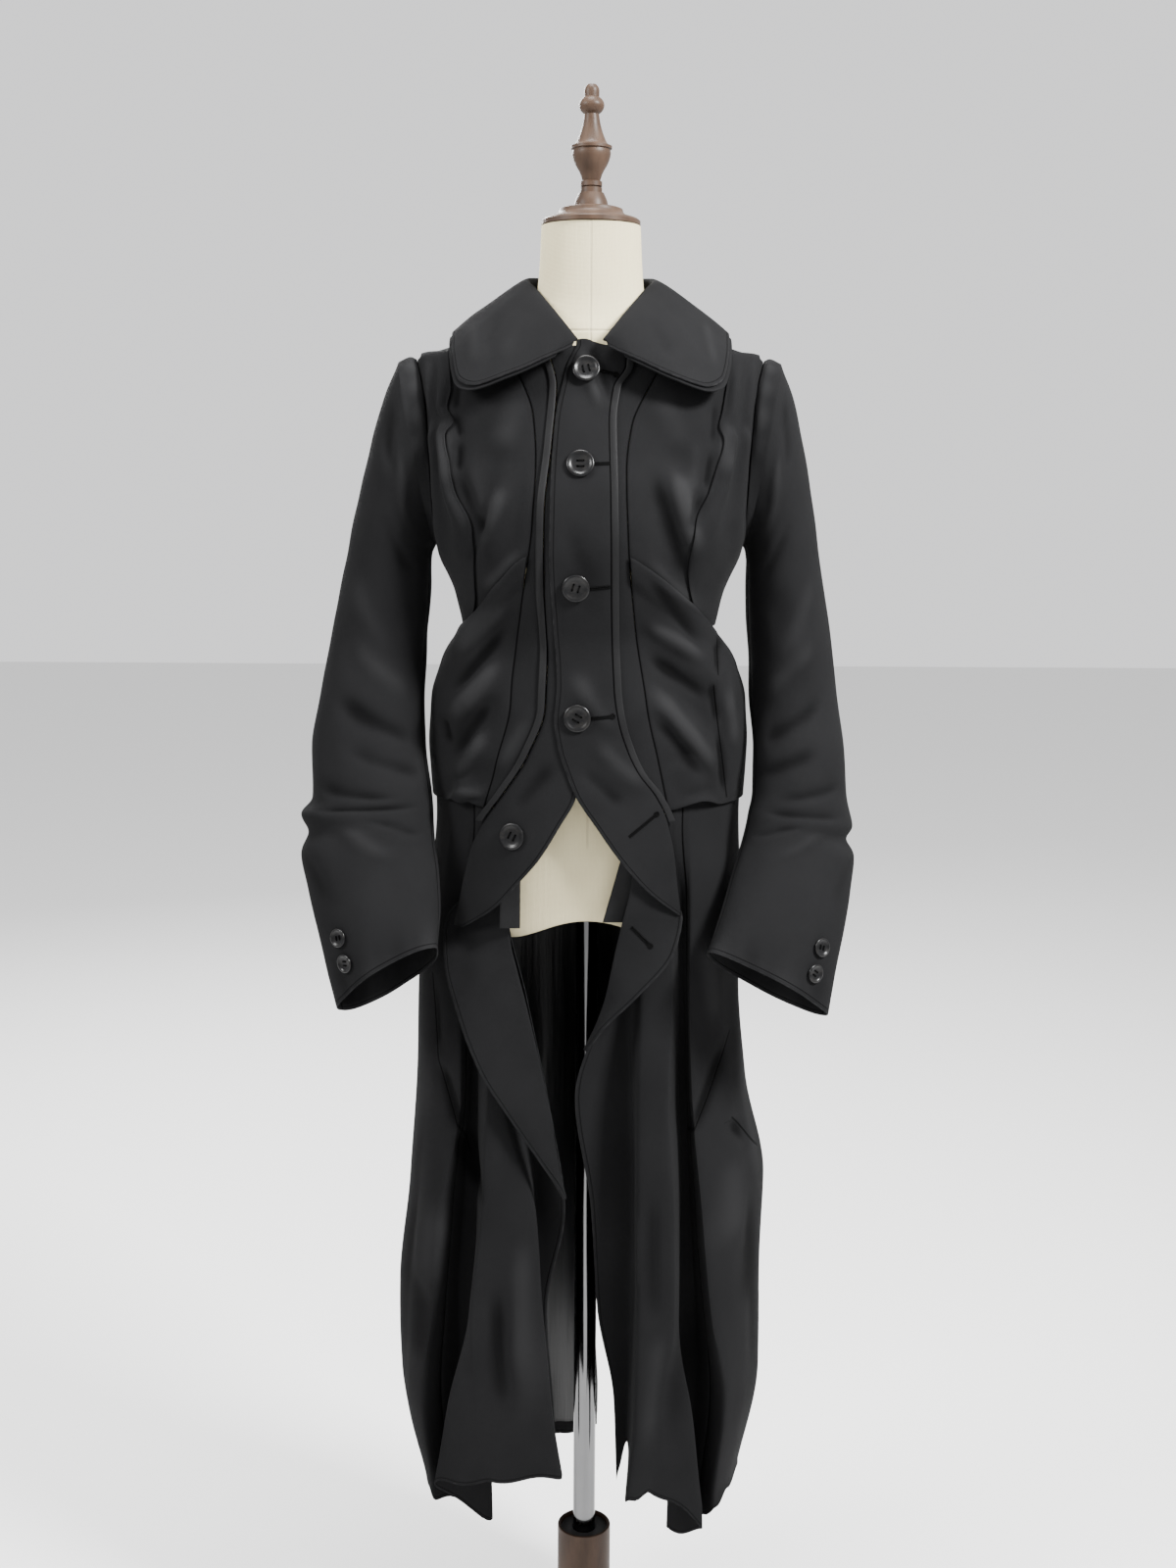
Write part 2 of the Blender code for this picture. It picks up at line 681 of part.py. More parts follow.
def surface_normal(place, s, t):
    """Outward direction of a surface place(s, t), halfway between its two sides where it turns sharply."""
    here = place(s, t)
    s0, s1 = max(0.0, s - EDGE_STEP), min(1.0, s + EDGE_STEP)
    t0, t1 = max(0.0, t - EDGE_STEP), min(1.0, t + EDGE_STEP)
    across = turn_between(place(s0, t), here, place(s1, t))
    along = turn_between(place(s, t0), here, place(s, t1))
    return across.cross(along).normalized()


def turn_between(before, here, after):
    """The direction halfway between the two legs of a bend."""
    return (here - before).normalized() + (after - here).normalized()


def even(count):
    """Shares from 0 to 1 in even steps."""
    return [i / count for i in range(count + 1)]


def drawn_in(place, s, t):
    """The shares of a point, drawn in by half a seam gap where it lies on an edge of the surface."""
    here = place(s, t)
    drawn = []
    for share, inside in ((s, (abs(s - EDGE_STEP), t)), (t, (s, abs(t - EDGE_STEP)))):
        if share in (0.0, 1.0):
            speed = (place(*inside) - here).length / EDGE_STEP
            share = abs(share - min(0.2, SEAM / 2 / speed))
        drawn.append(share)
    return drawn


def lay_out(place, columns, rows, lift=0.0):
    """A grid of (point, normal) over a surface; lift moves it away from the middle of the garment.

    columns holds a share for each column; rows holds one for each row, or works them out from the column's.
    """
    middle = place(0.5, 0.5)
    outward = surface_normal(place, 0.5, 0.5).dot(Vector((middle.x, middle.y, 0)))
    facing = math.copysign(1.0, outward)
    shares = [
        [drawn_in(place, column, row) for row in (rows(column) if callable(rows) else rows)]
        for column in columns
    ]
    points = [[place(s, t) for s, t in line] for line in shares]
    lines = []
    for i, line in enumerate(shares):
        placed = []
        for j, (s, t) in enumerate(line):
            if 0 < i < len(shares) - 1 and 0 < j < len(line) - 1:
                across = turn_between(points[i - 1][j], points[i][j], points[i + 1][j])
                along = turn_between(points[i][j - 1], points[i][j], points[i][j + 1])
                normal = across.cross(along).normalized() * facing
            else:
                normal = surface_normal(place, s, t) * facing
            rise = lift(s, t) if callable(lift) else lift
            placed.append((points[i][j] + normal * rise, normal))
        lines.append(placed)
    return [list(row) for row in zip(*lines)]


def level_rows(top, bottom, heights, above=1, below=1):
    """Rows at set heights, so that neighbours meet row for row, with even rows above and below them."""
    def rows(s):
        high, low = top(s), bottom(s)
        levels = [mix(high, heights[0], i / above) for i in range(above)]
        levels += heights
        levels += [mix(heights[-1], low, (i + 1) / below) for i in range(below)]
        shares = [(high - z) / (high - low) for z in levels]
        return [0.0] + shares[1:-1] + [1.0]
    return rows


def levels_between(high, low):
    return [z for z in BODY_LEVELS if low < z < high]


def add_object(name, mesh, look):
    """Puts the mesh in the scene as a named object with its own material."""
    red, green, blue, roughness, metallic = LOOKS[look]
    material = bpy.data.materials.new(name + "_" + look)
    material.use_nodes = True
    shader = material.node_tree.nodes["Principled BSDF"]
    shader.inputs["Base Color"].default_value = (red, green, blue, 1.0)
    shader.inputs["Roughness"].default_value = roughness
    shader.inputs["Metallic"].default_value = metallic
    material.diffuse_color = (red, green, blue, 1.0)
    mesh.materials.append(material)
    thing = bpy.data.objects.new(name, mesh)
    bpy.context.scene.collection.objects.link(thing)
    return thing


def finish_mesh(name, shape, look, sharp=50.0):
    mesh = bpy.data.meshes.new(name)
    if shape.calc_volume(signed=True) < 0:
        bmesh.ops.reverse_faces(shape, faces=shape.faces)
    shape.to_mesh(mesh)
    shape.free()
    mesh.shade_smooth()
    mesh.set_sharp_from_angle(angle=math.radians(sharp))
    return add_object(name, mesh, look)


def add_pair(shape, a, b, c, d):
    """Two triangles that meet on the line from a to c."""
    shape.faces.new([a, b, c])
    shape.faces.new([a, c, d])


def wall(name, grid, look, thickness=WALL):
    """A closed wall of even thickness about a grid of points and normals."""
    shape = bmesh.new()
    outer, inner = [
        [[shape.verts.new((point + normal * half) * MM) for point, normal in line] for line in grid]
        for half in (thickness / 2, -thickness / 2)
    ]
    rows = len(grid) - 1
    columns = len(grid[0]) - 1
    for j in range(rows):
        for i in range(columns):
            add_pair(shape, outer[j][i], outer[j][i + 1], outer[j + 1][i + 1], outer[j + 1][i])
            add_pair(shape, inner[j][i], inner[j + 1][i], inner[j + 1][i + 1], inner[j][i + 1])
    for i in range(columns):
        add_pair(shape, outer[0][i], inner[0][i], inner[0][i + 1], outer[0][i + 1])
        add_pair(shape, outer[rows][i], outer[rows][i + 1], inner[rows][i + 1], inner[rows][i])
    for j in range(rows):
        add_pair(shape, outer[j][0], outer[j + 1][0], inner[j + 1][0], inner[j][0])
        add_pair(shape, outer[j][columns], inner[j][columns], inner[j + 1][columns], outer[j + 1][columns])
    return finish_mesh(name, shape, look)


def turned(name, profile, look, segments=20, bore=0.0):
    """A solid turned about Z from (z, radius) rows; with a bore it is a tube."""
    shape = bmesh.new()
    loops = []
    for z, radius in profile:
        loop = []
        for i in range(segments):
            turn = math.tau * i / segments
            loop.append(shape.verts.new(Vector((radius * math.cos(turn), radius * math.sin(turn), z)) * MM))
        loops.append(loop)
    pairs = list(zip(loops, loops[1:]))
    if bore:
        pairs.append((loops[-1], loops[0]))
    for low, high in pairs:
        for i in range(segments):
            k = (i + 1) % segments
            shape.faces.new([low[i], low[k], high[k], high[i]])
    if not bore:
        shape.faces.new(loops[0][::-1])
        shape.faces.new(loops[-1])
    return finish_mesh(name, shape, look, sharp=35.0)


# ---- dress form ----

def form_bottom(angle, z):
    """The lower edge of the form rises in an arch at the middle of its front and back."""
    share = min(1.0, abs(angle) / FORM_ARCH_ANGLE)
    return z + FORM_ARCH_RISE * math.cos(share * math.pi / 2) ** 2


def make_form():
    segments = 24
    shape = bmesh.new()
    heights = [ring.z for ring in FORM_RINGS]
    loops = []
    for z in heights:
        loop = []
        for i in range(segments):
            angle = 360.0 * i / segments - 180.0 + 180.0 / segments
            point = FORM.point(angle, z)
            if z == heights[-1]:
                front = angle if abs(angle) <= 90 else 180 - abs(angle)
                point.z = form_bottom(front, z)
            loop.append(point)
        loops.append(loop)
    lowest = loops[-1]
    inset = [Vector((p.x * FORM_RIM_SHARE, p.y * FORM_RIM_SHARE, p.z + FORM_RIM_RISE)) for p in lowest]
    loops.append(inset)
    for radius, z in (
        (FORM_BOSS_RADIUS, BORE_MOUTH_Z),
        (FORM_BORE_RADIUS, BORE_MOUTH_Z),
        (FORM_BORE_RADIUS, BORE_TOP_Z),
    ):
        around = []
        for p in inset:
            turn = math.atan2(p.y, p.x)
            around.append(Vector((radius * math.cos(turn), radius * math.sin(turn), z)))
        loops.append(around)
    rows = [[shape.verts.new(p * MM) for p in loop] for loop in loops]
    for upper, lower in zip(rows, rows[1:]):
        for i in range(segments):
            k = (i + 1) % segments
            shape.faces.new([upper[i], lower[i], lower[k], upper[k]])
    shape.faces.new(rows[0])
    shape.faces.new(rows[-1][::-1])
    finish_mesh("form_torso", shape, "linen")


def make_finial():
    cap = [(NECK_TOP_Z + SEAM + row.height, row.radius) for row in NECK_CAP]
    turned("neck_cap", cap, "walnut", segments=20)
    top = [(NECK_TOP_Z + SEAM + row.height, row.radius) for row in FINIAL]
    turned("finial", top, "walnut", segments=12)


def make_stand():
    rounding = 3.0
    disc = [
        (0.0, BASE_RADIUS - 1.0),
        (1.0, BASE_RADIUS),
        (BASE_HEIGHT - rounding, BASE_RADIUS),
        (BASE_HEIGHT - rounding * 0.3, BASE_RADIUS - rounding * 0.3),
        (BASE_HEIGHT, BASE_RADIUS - rounding),
    ]
    turned("base_disc", disc, "walnut", segments=36)
    foot = BASE_HEIGHT + SEAM
    inner = POST_RADIUS - POST_LIP
    post = [
        (foot, POST_RADIUS),
        (POST_TOP_Z - 1.0, POST_RADIUS),
        (POST_TOP_Z, POST_RADIUS - 1.0),
        (POST_TOP_Z, inner),
        (POST_TOP_Z - POST_RECESS, inner),
        (POST_TOP_Z - POST_RECESS, BORE_RADIUS),
        (foot, BORE_RADIUS),
    ]
    turned("base_post", post, "walnut", segments=20, bore=BORE_RADIUS)
    low = POST_TOP_Z - POST_RECESS + SEAM
    high = low + POST_COLLAR_HEIGHT
    collar = [
        (low, inner - SEAM),
        (high - POST_COLLAR_BEVEL, inner - SEAM),
        (high, inner - SEAM - POST_COLLAR_BEVEL),
        (high, BORE_RADIUS + POST_COLLAR_BEVEL),
        (high - POST_COLLAR_BEVEL, BORE_RADIUS),
        (low, BORE_RADIUS),
    ]
    turned("post_collar", collar, "rubber", segments=20, bore=BORE_RADIUS)
    turned("pole", [(foot, POLE_RADIUS), (POLE_TOP_Z, POLE_RADIUS)], "chrome", segments=20)


# ---- bodice ----

def seam_x(rows):
    return curves(rows)["x"]


def limited(angle, side):
    """Keeps an angle on the front half of its own side."""
    return side * min(90.0, abs(angle))


def armhole_angle(z, side):
    """The edge of the fronts: shoulder seam, armhole, then side seam."""
    if z >= SHOULDER_Z or z <= UNDERARM_Z:
        return 90.0 * side
    return limited(BODY.angle(seam_x(ARMHOLE)(z), z), side)


def between(left, right, top, bottom, puff):
    """A surface place(s, t) on the coat between two edges given as angles and two given as heights."""
    def place(s, t):
        z = mix(top(s), bottom(s), t)
        return coat_point(mix(left(z), right(z), s), z, puff(s, z))
    return place


def flat_height(z):
    """An edge that keeps one height all along."""
    return lambda s: z


def centre(s, z):
    return centre_puff(z)


def strip_edges(rows):
    """The two edges of a strip table as angles at height z."""
    table = curves(rows)

    def inner(z):
        return coat_angle(table["inner"](z), z, centre_puff(z))

    def outer(z):
        return coat_angle(table["outer"](z), z, centre_puff(z))

    return inner, outer


def strip_rows(rows):
    """Rows for a strip between flat ends."""
    top, bottom = rows[0].z, rows[-1].z
    below = [FRONT_END_Z] + [row.z for row in rows[:-1] if row.z < FRONT_END_Z]
    heights = levels_between(top - 3, FRONT_END_Z) + below
    return level_rows(flat_height(top), flat_height(bottom), heights)


def make_plackets():
    for name, rows, lift, columns in (("placket_l", PLACKET_L, LAYER, 4), ("placket_r", PLACKET_R, 0.0, 3)):
        inner, outer = strip_edges(rows)
        place = between(inner, outer, flat_height(rows[0].z), flat_height(rows[-1].z), centre)
        wall(name, lay_out(place, even(columns), strip_rows(rows), lift), "wool")


def make_bindings():
    """A narrow satin strip along the outer edge of each placket."""
    for name, rows, side in (("binding_l", PLACKET_L, 1), ("binding_r", PLACKET_R, -1)):
        edge = curves(rows)["outer"]

        def inner(z):
            return coat_angle(edge(z) + side * SEAM, z, centre_puff(z))

        def outer(z):
            return coat_angle(edge(z) + side * (SEAM + BINDING_WIDTH), z, centre_puff(z))

        strip = [row for row in rows if row.z > BINDING_END_Z]
        place = between(inner, outer, flat_height(strip[0].z), flat_height(strip[-1].z), centre)
        wall(name, lay_out(place, even(1), strip_rows(strip), LAYER), "satin")


def make_fronts():
    """Narrow centre fronts between the placket and the princess seam."""
    for name, placket, princess, side, tuck in (
        ("front_l", PLACKET_L, PRINCESS_L, 1, -FRONT_TUCK),
        ("front_r", PLACKET_R, PRINCESS_R, -1, -SEAM),
    ):
        edge = curves(placket)["outer"]
        seam = seam_x(princess)

        def inner(z):
            beside = coat_angle(edge(z) + tuck, z, centre_puff(z))
            return side * max(abs(beside), NECK_ANGLE(z) if z > NECKLINE[0].z else 0.0)

        def outer(z):
            if z > princess[0].z:
                return 90.0 * side
            reach = max(seam(z), abs(edge(z)) + FRONT_END_WIDTH)
            return coat_angle(side * reach, z, centre_puff(z))

        top, bottom = flat_height(NECK_SIDE_Z), flat_height(FRONT_END_Z)
        place = between(inner, outer, top, bottom, centre)
        rows = level_rows(top, bottom, levels_between(NECK_SIDE_Z, FRONT_END_Z))
        wall(name, lay_out(place, even(2), rows), "wool")


def hip_edge(edge):
    """Height of the hip drape's top edge at an angle round the body."""
    start = BODY.angle(edge["start_x"], edge["start_z"])
    middle = BODY.angle(edge["mid_x"], edge["mid_z"])
    angles = [start, middle, 90.0, HIP_BACK_ANGLE]
    return Curve(angles, [edge["start_z"], edge["mid_z"], edge["side_z"], edge["back_z"]])


def fitted(s, z):
    return 0.0


def make_chests():
    """Side fronts from the princess seam to the armhole, which end under the hip drapes."""
    for name, princess, edge, side in (
        ("chest_l", PRINCESS_L, HIP_EDGE_L, 1),
        ("chest_r", PRINCESS_R, HIP_EDGE_R, -1),
    ):
        seam = seam_x(princess)
        brink = hip_edge(edge)

        def inner(z):
            return coat_angle(side * seam(z), z, 0.0)

        def outer(z):
            return armhole_angle(z, side)

        def bottom(s):
            return brink(mix(abs(inner(edge["start_z"])), 90.0, s)) - HIP_LAP

        top = flat_height(CHEST_TOP_Z)
        place = between(inner, outer, top, bottom, fitted)
        rows = level_rows(top, bottom, levels_between(CHEST_TOP_Z, edge["start_z"] - 1), below=3)
        wall(name, lay_out(place, even(5), rows), "wool")


def drape_lift(s, z, pinch_z):
    """Gathered ridges that run down the drape, pressed together at the pinch."""
    spread = ease((z - 1280.0) / 60.0)
    pinch = 1 - 0.7 * math.exp(-(((z - pinch_z) / PINCH_HEIGHT) ** 2))
    ridges = (0.5 - 0.5 * math.cos(math.tau * 2 * s)) * ease((1500.0 - z) / 40.0)
    return LAYER + DRAPE_EASE + DRAPE_RIDGE * ridges * spread * pinch


def make_drapes():
    for name, rows, pinch_z in (("drape_l", DRAPE_L, PINCH_L), ("drape_r", DRAPE_R, PINCH_R)):
        table = curves(rows)

        def inner(z):
            return coat_angle(table["inner"](z), z, 0.0)

        def outer(z):
            return coat_angle(table["outer"](z), z, 0.0)

        top, bottom = rows[0].z, rows[-1].z

        def lift(s, t):
            return drape_lift(s, mix(top, bottom, t), pinch_z)

        place = between(inner, outer, flat_height(top), flat_height(bottom), fitted)
        heights = sorted(levels_between(top - 3, bottom + 5) + [row.z for row in rows[2:5]], reverse=True)
        levels = level_rows(flat_height(top), flat_height(bottom), heights)
        wall(name, lay_out(place, even(5), levels, lift), "wool")


def back_angle(x, z, side):
    """The angle on the back at which the coat has this x."""
    return side * (180.0 - abs(coat_angle(x, z, centre_puff(z))))


def make_hips():
    """Hip panels that start in a loose fold over the waist and swell out over the side."""
    columns = [0.0, 0.05, 0.1, 0.15, 0.2, 0.27, 0.35, 0.45, 0.56, 0.67, 0.78, 0.89, 1.0]
    for name, princess, edge, side in (
        ("hip_l", PRINCESS_L, HIP_EDGE_L, 1),
        ("hip_r", PRINCESS_R, HIP_EDGE_R, -1),
    ):
        seam = seam_x(princess)
        back_seam = seam_x(SIDE_BACK)
        brink = hip_edge(edge)

        def inner(z):
            return coat_angle(side * seam(z), z, centre_puff(z))

        def outer(z):
            return back_angle(back_seam(z), z, side)

        def top(s):
            return brink(mix(abs(inner(edge["start_z"])), HIP_BACK_ANGLE, s))

        def bottom(s):
            return SKIRT_TOP_Z + POCKET_RISE * math.sin(math.pi * min(1.0, s / POCKET_END)) ** 2

        def puff(s, z):
            swell = ease(s / 0.22) * ease((1 - s) / 0.15) * ease((top(s) - z) / HIP_SWELL)
            return mix(centre_puff(z), 1.0, swell)

        def lift(s, t):
            below = (top(s) - bottom(s)) * t
            rim = LAYER + HIP_RIM + HIP_RIM_LOOSE * ease(s / 0.15) * ease((0.85 - s) / 0.15)
            return rim * ease((HIP_LAP * 3 - below) / (HIP_LAP * 1.5))

        place = between(inner, outer, top, bottom, puff)
        rows = level_rows(top, bottom, levels_between(1201, SKIRT_TOP_Z), above=3)
        wall(name, lay_out(place, columns, rows, lift), "wool")


def make_backs():
    """Centre backs, and side backs that end under the hip drapes."""
    back_seam = seam_x(SIDE_BACK)
    armhole = seam_x(ARMHOLE)
    for side, mark, edge in ((1, "l", HIP_EDGE_L), (-1, "r", HIP_EDGE_R)):
        brink = hip_edge(edge)

        def armhole_back(z):
            if z >= SHOULDER_Z or z <= UNDERARM_Z:
                return 90.0 * side
            return side * (180.0 - abs(BODY.angle(armhole(z), z)))

        def outer(z):
            return back_angle(back_seam(z), z, side) if z < SIDE_BACK[0].z else armhole_back(z)

        def middle(z):
            return 180.0 * side

        def seam_edge(z):
            return back_angle(back_seam(z), z, side)

        def neck(s):
            return NECK_HEIGHT(mix(180.0, 90.0, s))

        def low(s):
            return brink(mix(HIP_BACK_ANGLE, 90.0, s)) - HIP_LAP

        bottom = flat_height(SKIRT_TOP_Z)
        place = between(middle, outer, neck, bottom, centre)
        rows = level_rows(neck, bottom, levels_between(NECK_SIDE_Z, SKIRT_TOP_Z))
        wall("back_" + mark, lay_out(place, even(3), rows), "wool")

        top = flat_height(SIDE_BACK[0].z - 2.0)
        place = between(seam_edge, armhole_back, top, low, fitted)
        rows = level_rows(top, low, levels_between(SIDE_BACK[0].z - 3.0, edge["back_z"]))
        wall("side_back_" + mark, lay_out(place, even(4), rows), "wool")


# ---- collar ----

def collar_place(u, t):
    """u runs from the wearer's right tip (-1) round the back (0) to the left tip (1); t from neck to edge."""
    side = 1 if u >= 0 else -1
    knot = (len(COLLAR) - 1) * (1 - abs(u))
    at = {column: curve(knot) for column, curve in COLLAR_TABLE.items()}
    angle = at["neck_angle"] * side
    foot = BODY.point(angle, NECK_HEIGHT(abs(angle))) + Vector((0, 0, LAYER))
    roll = Vector((at["roll_x"] * side, at["roll_y"], at["roll_z"]))
    edge = Vector((at["edge_x"] * side, at["edge_y"], at["edge_z"]))
    fall = edge - roll
    outward = Vector((fall.x, fall.y, 0)).normalized()
    turn = outward * min(ROLL_WIDTH, 0.5 * fall.length)
    if t < COLLAR_STAND:
        share = t / COLLAR_STAND
        rise = Vector((0, 0, (roll - foot).length * 0.8))
        return curve_between(foot, roll, rise, turn, share)
    share = (t - COLLAR_STAND) / (1 - COLLAR_STAND)
    return curve_between(roll, edge, turn * 1.6, fall * 0.9 - Vector((0, 0, 0.12 * fall.length)), share)


def curve_between(start, end, start_way, end_way, share):
    return Vector([
        hermite(a, b, first, last, share)
        for a, b, first, last in zip(start, end, start_way, end_way)
    ])


def make_collar():
    """The collar, and the undercollar that shows as a second edge below it."""
    columns = even(COLLAR_COLUMNS)
    start, end = UNDERCOLLAR_START, UNDERCOLLAR_END

    def upper(s, t):
        return collar_place(mix(-1, 1, s), t)

    def upper_lift(s, t):
        return COLLAR_LIFT * ease(t / COLLAR_STAND)

    def lower(s, t):
        u = mix(-1, 1, s)
        depth = mix(start, end, t)
        knot = (len(COLLAR) - 1) * (1 - abs(u))
        fall = (collar_place(u, 1.0) - collar_place(u, 0.9)).normalized()
        shown = COLLAR_TABLE["under"](knot) * max(0.0, (depth - 1.0) / (end - 1.0))
        return collar_place(u, min(depth, 1.0)) + fall * shown

    rows = [(row - start) / (end - start) for row in COLLAR_ROWS + [end] if row >= start]
    wall("collar", lay_out(upper, columns, COLLAR_ROWS, upper_lift), "wool", thickness=COLLAR_WALL)
    wall("collar_under", lay_out(lower, columns[1:-1], rows, UNDERCOLLAR_LIFT), "wool")


# ---- sleeves ----

def armhole_point(side, turn):
    """A point of the armhole edge: turn 0 is the shoulder, 90 the front, 180 the underarm."""
    middle = (SHOULDER_Z + UNDERARM_Z) / 2
    radius = (SHOULDER_Z - UNDERARM_Z) / 2
    z = middle + radius * math.cos(math.radians(turn))
    angle = abs(armhole_angle(z, side))
    if math.sin(math.radians(turn)) < 0:
        angle = 180.0 - angle
    return BODY.point(angle * side, z)


def sleeve_surface(rows, side):
    """place(turn, share): share 0 is the armhole and 1 the cuff."""
    table = {
        column: Curve(range(len(rows)), [getattr(row, column) for row in rows])
        for column in Section._fields
    }

    def section(turn, knot):
        outer = Vector((table["outer_x"](knot) * side, table["y"](knot), table["outer_z"](knot)))
        inner = Vector((table["inner_x"](knot) * side, table["y"](knot), table["inner_z"](knot)))
        middle = (outer + inner) / 2
        across = Vector((0, -table["half_depth"](knot), table["pitch"](knot)))
        angle = math.radians(turn)
        return middle + (outer - middle) * math.cos(angle) + across * math.sin(angle)

    def place(turn, share):
        knot = share * len(rows) - 1
        if knot >= 0:
            return section(turn, knot)
        edge = armhole_point(side, turn) + Vector((ARMHOLE_CLEAR * side, 0, 0))
        return edge.lerp(section(turn, 0), knot + 1)

    return place


def make_sleeves():
    for mark, rows, side in (("l", SLEEVE_L, 1), ("r", SLEEVE_R, -1)):
        surface = sleeve_surface(rows, side)
        back, front = SLEEVE_SEAM_BACK, SLEEVE_SEAM_FRONT
        for name, start, end, columns in (
            ("sleeve_top_" + mark, back, front, 9),
            ("sleeve_under_" + mark, front, 360.0 + back, 8),
        ):
            def place(s, t):
                return surface(mix(start, end, s), t)
            wall(name, lay_out(place, even(columns), even(len(rows))), "wool")


# ---- skirt ----

class Skirt:
    """One half of the skirt as a surface through its fold lines."""

    def __init__(self, lines, hems, side):
        self.soft = [line.soft for line in lines]
        self.hems = Curve(range(len(lines)), [hems[line.name] for line in lines])
        self.lines = []
        for line in lines:
            heights = [SKIRT_TOP_Z + SKIRT_LAP, SKIRT_TOP_Z - 15.0]
            starts = [HIP.point(side * line.start, z) for z in heights]
            if line.name == "centre":
                starts = [Vector((side * line.x[0], point.y, point.z)) for point in starts]
            inset = [point - Vector((point.x, point.y, 0)).normalized() * SKIRT_INSET for point in starts]
            knots = heights + list(SKIRT_HEIGHTS)
            self.lines.append((
                Curve(knots, [point.x for point in inset] + [side * x for x in line.x]),
                Curve(knots, [point.y for point in inset] + list(line.y)),
            ))

    def across(self, position, z):
        """The point at height z and at a position counted in fold lines."""
        last = len(self.lines) - 1
        i = min(int(position), last - 1)
        t = position - i
        here = Vector((self.lines[i][0](z), self.lines[i][1](z)))
        there = Vector((self.lines[i + 1][0](z), self.lines[i + 1][1](z)))
        tangents = []
        for k, point in ((i, here), (i + 1, there)):
            if k in (0, last):
                tangents.append(there - here)
                continue
            before = Vector((self.lines[k - 1][0](z), self.lines[k - 1][1](z)))
            after = Vector((self.lines[k + 1][0](z), self.lines[k + 1][1](z)))
            whole = (point - before).length + (after - point).length
            step = (there - here).length
            tangents.append((after - before) * (self.soft[k] * step / max(whole, 0.001)))
        x = hermite(here.x, there.x, tangents[0].x, tangents[1].x, t)
        y = hermite(here.y, there.y, tangents[0].y, tangents[1].y, t)
        return Vector((x, y, z))

    def panel(self, a, b, top):
        """A surface between two positions from a height down to the hem, and its rows."""
        def hem(s):
            return self.hems(mix(a, b, s))

        def place(s, t):
            return self.across(mix(a, b, s), mix(top(s), hem(s), t))

        return place, level_rows(top, hem, SKIRT_LEVELS, above=3, below=2)


def skirt_front_top(free_z):
    """Top edge of a skirt front: low at its free edge, then up under the placket to the pocket line."""
    return lambda s: mix(free_z, SKIRT_TOP_Z + SKIRT_LAP, ease((s - 0.15) / 0.5))


def make_skirt():
    for mark, lines, hems, side, free_z in (
        ("l", SKIRT_L, HEM_L, 1, SKIRT_FREE_TOP_L),
        ("r", SKIRT_R, HEM_R, -1, SKIRT_FREE_TOP_R),
    ):
        skirt = Skirt(lines, hems, side)
        for piece in SKIRT_PIECES:
            top = flat_height(SKIRT_TOP_Z + SKIRT_LAP)
            if piece.name == "skirt_front":
                top = skirt_front_top(free_z)
            columns = int(2 * (piece.last - piece.first))
            place, rows = skirt.panel(piece.first, piece.last, top)
            wall(piece.name + "_" + mark, lay_out(place, even(columns), rows), "wool")

        def lining_rows(s):
            return [min(share, 0.98) for share in rows(s)[1:]]

        grid = lay_out(place, even(columns), lining_rows, LINING_LIFT)
        wall("lining_" + mark, grid, "lining", thickness=LINING_WALL)


def make_turnbacks():
    """The front edges of the skirt, turned back over it."""
    for name, rows, side in (("turnback_l", TURNBACK_L, 1), ("turnback_r", TURNBACK_R, -1)):
        table = curves(rows)
        top, bottom = rows[0].z, rows[-1].z

        def place(s, t):
            z = mix(top, bottom, t)
            x = mix(table["fold_x"](z), table["edge_x"](z), s)
            y = mix(table["fold_y"](z), table["edge_y"](z), s) - TURN_BULGE * math.sin(math.pi * s)
            return Vector((x, y, z))

        wall(name, lay_out(place, even(3), even(12)), "wool")


def make_tabs():
    for name, tab in TABS.items():
        top, bottom = Vector(tab["top"]), Vector(tab["bottom"])

        def place(s, t):
            return top.lerp(bottom, t) + Vector((TAB_WIDTH * (s - 0.5), 0, 0))

        wall(name, lay_out(place, even(2), even(4)), "satin")


# ---- buttons ----

def seat_on(carrier, point, way, radius):
    """Where the flat back of a round piece rests on a wall near a point, and which way it faces."""
    mesh = bpy.data.objects[carrier].data
    tree = BVHTree.FromPolygons([v.co / MM for v in mesh.vertices], [p.vertices for p in mesh.polygons])
    across = way.orthogonal().normalized() * radius
    offsets = [Matrix.Rotation(math.tau * i / 8, 3, way) @ across for i in range(8)]
    hits = [tree.ray_cast(point + offset + way * BUTTON_REACH, -way) for offset in [Vector()] + offsets]
    facing = sum((normal for _, normal, _, _ in hits), Vector()).normalized()
    highest = max(spot.dot(facing) for spot, _, _, _ in hits)
    middle = hits[0][0]
    return middle + facing * (highest - middle.dot(facing) + SEAM), facing


def button(name, radius, carrier, point, way):
    """A round button with a raised rim and a dished middle, seated with its back on the cloth."""
    profile = [(row.height * BUTTON_THICKNESS, row.radius * radius) for row in BUTTON]
    thing = turned(name, profile, "button", segments=10)
    seat, facing = seat_on(carrier, point, way, radius * BUTTON[0].radius)
    thing.rotation_mode = "QUATERNION"
    thing.rotation_quaternion = Vector((0, 0, 1)).rotation_difference(facing)
    thing.location = seat * MM


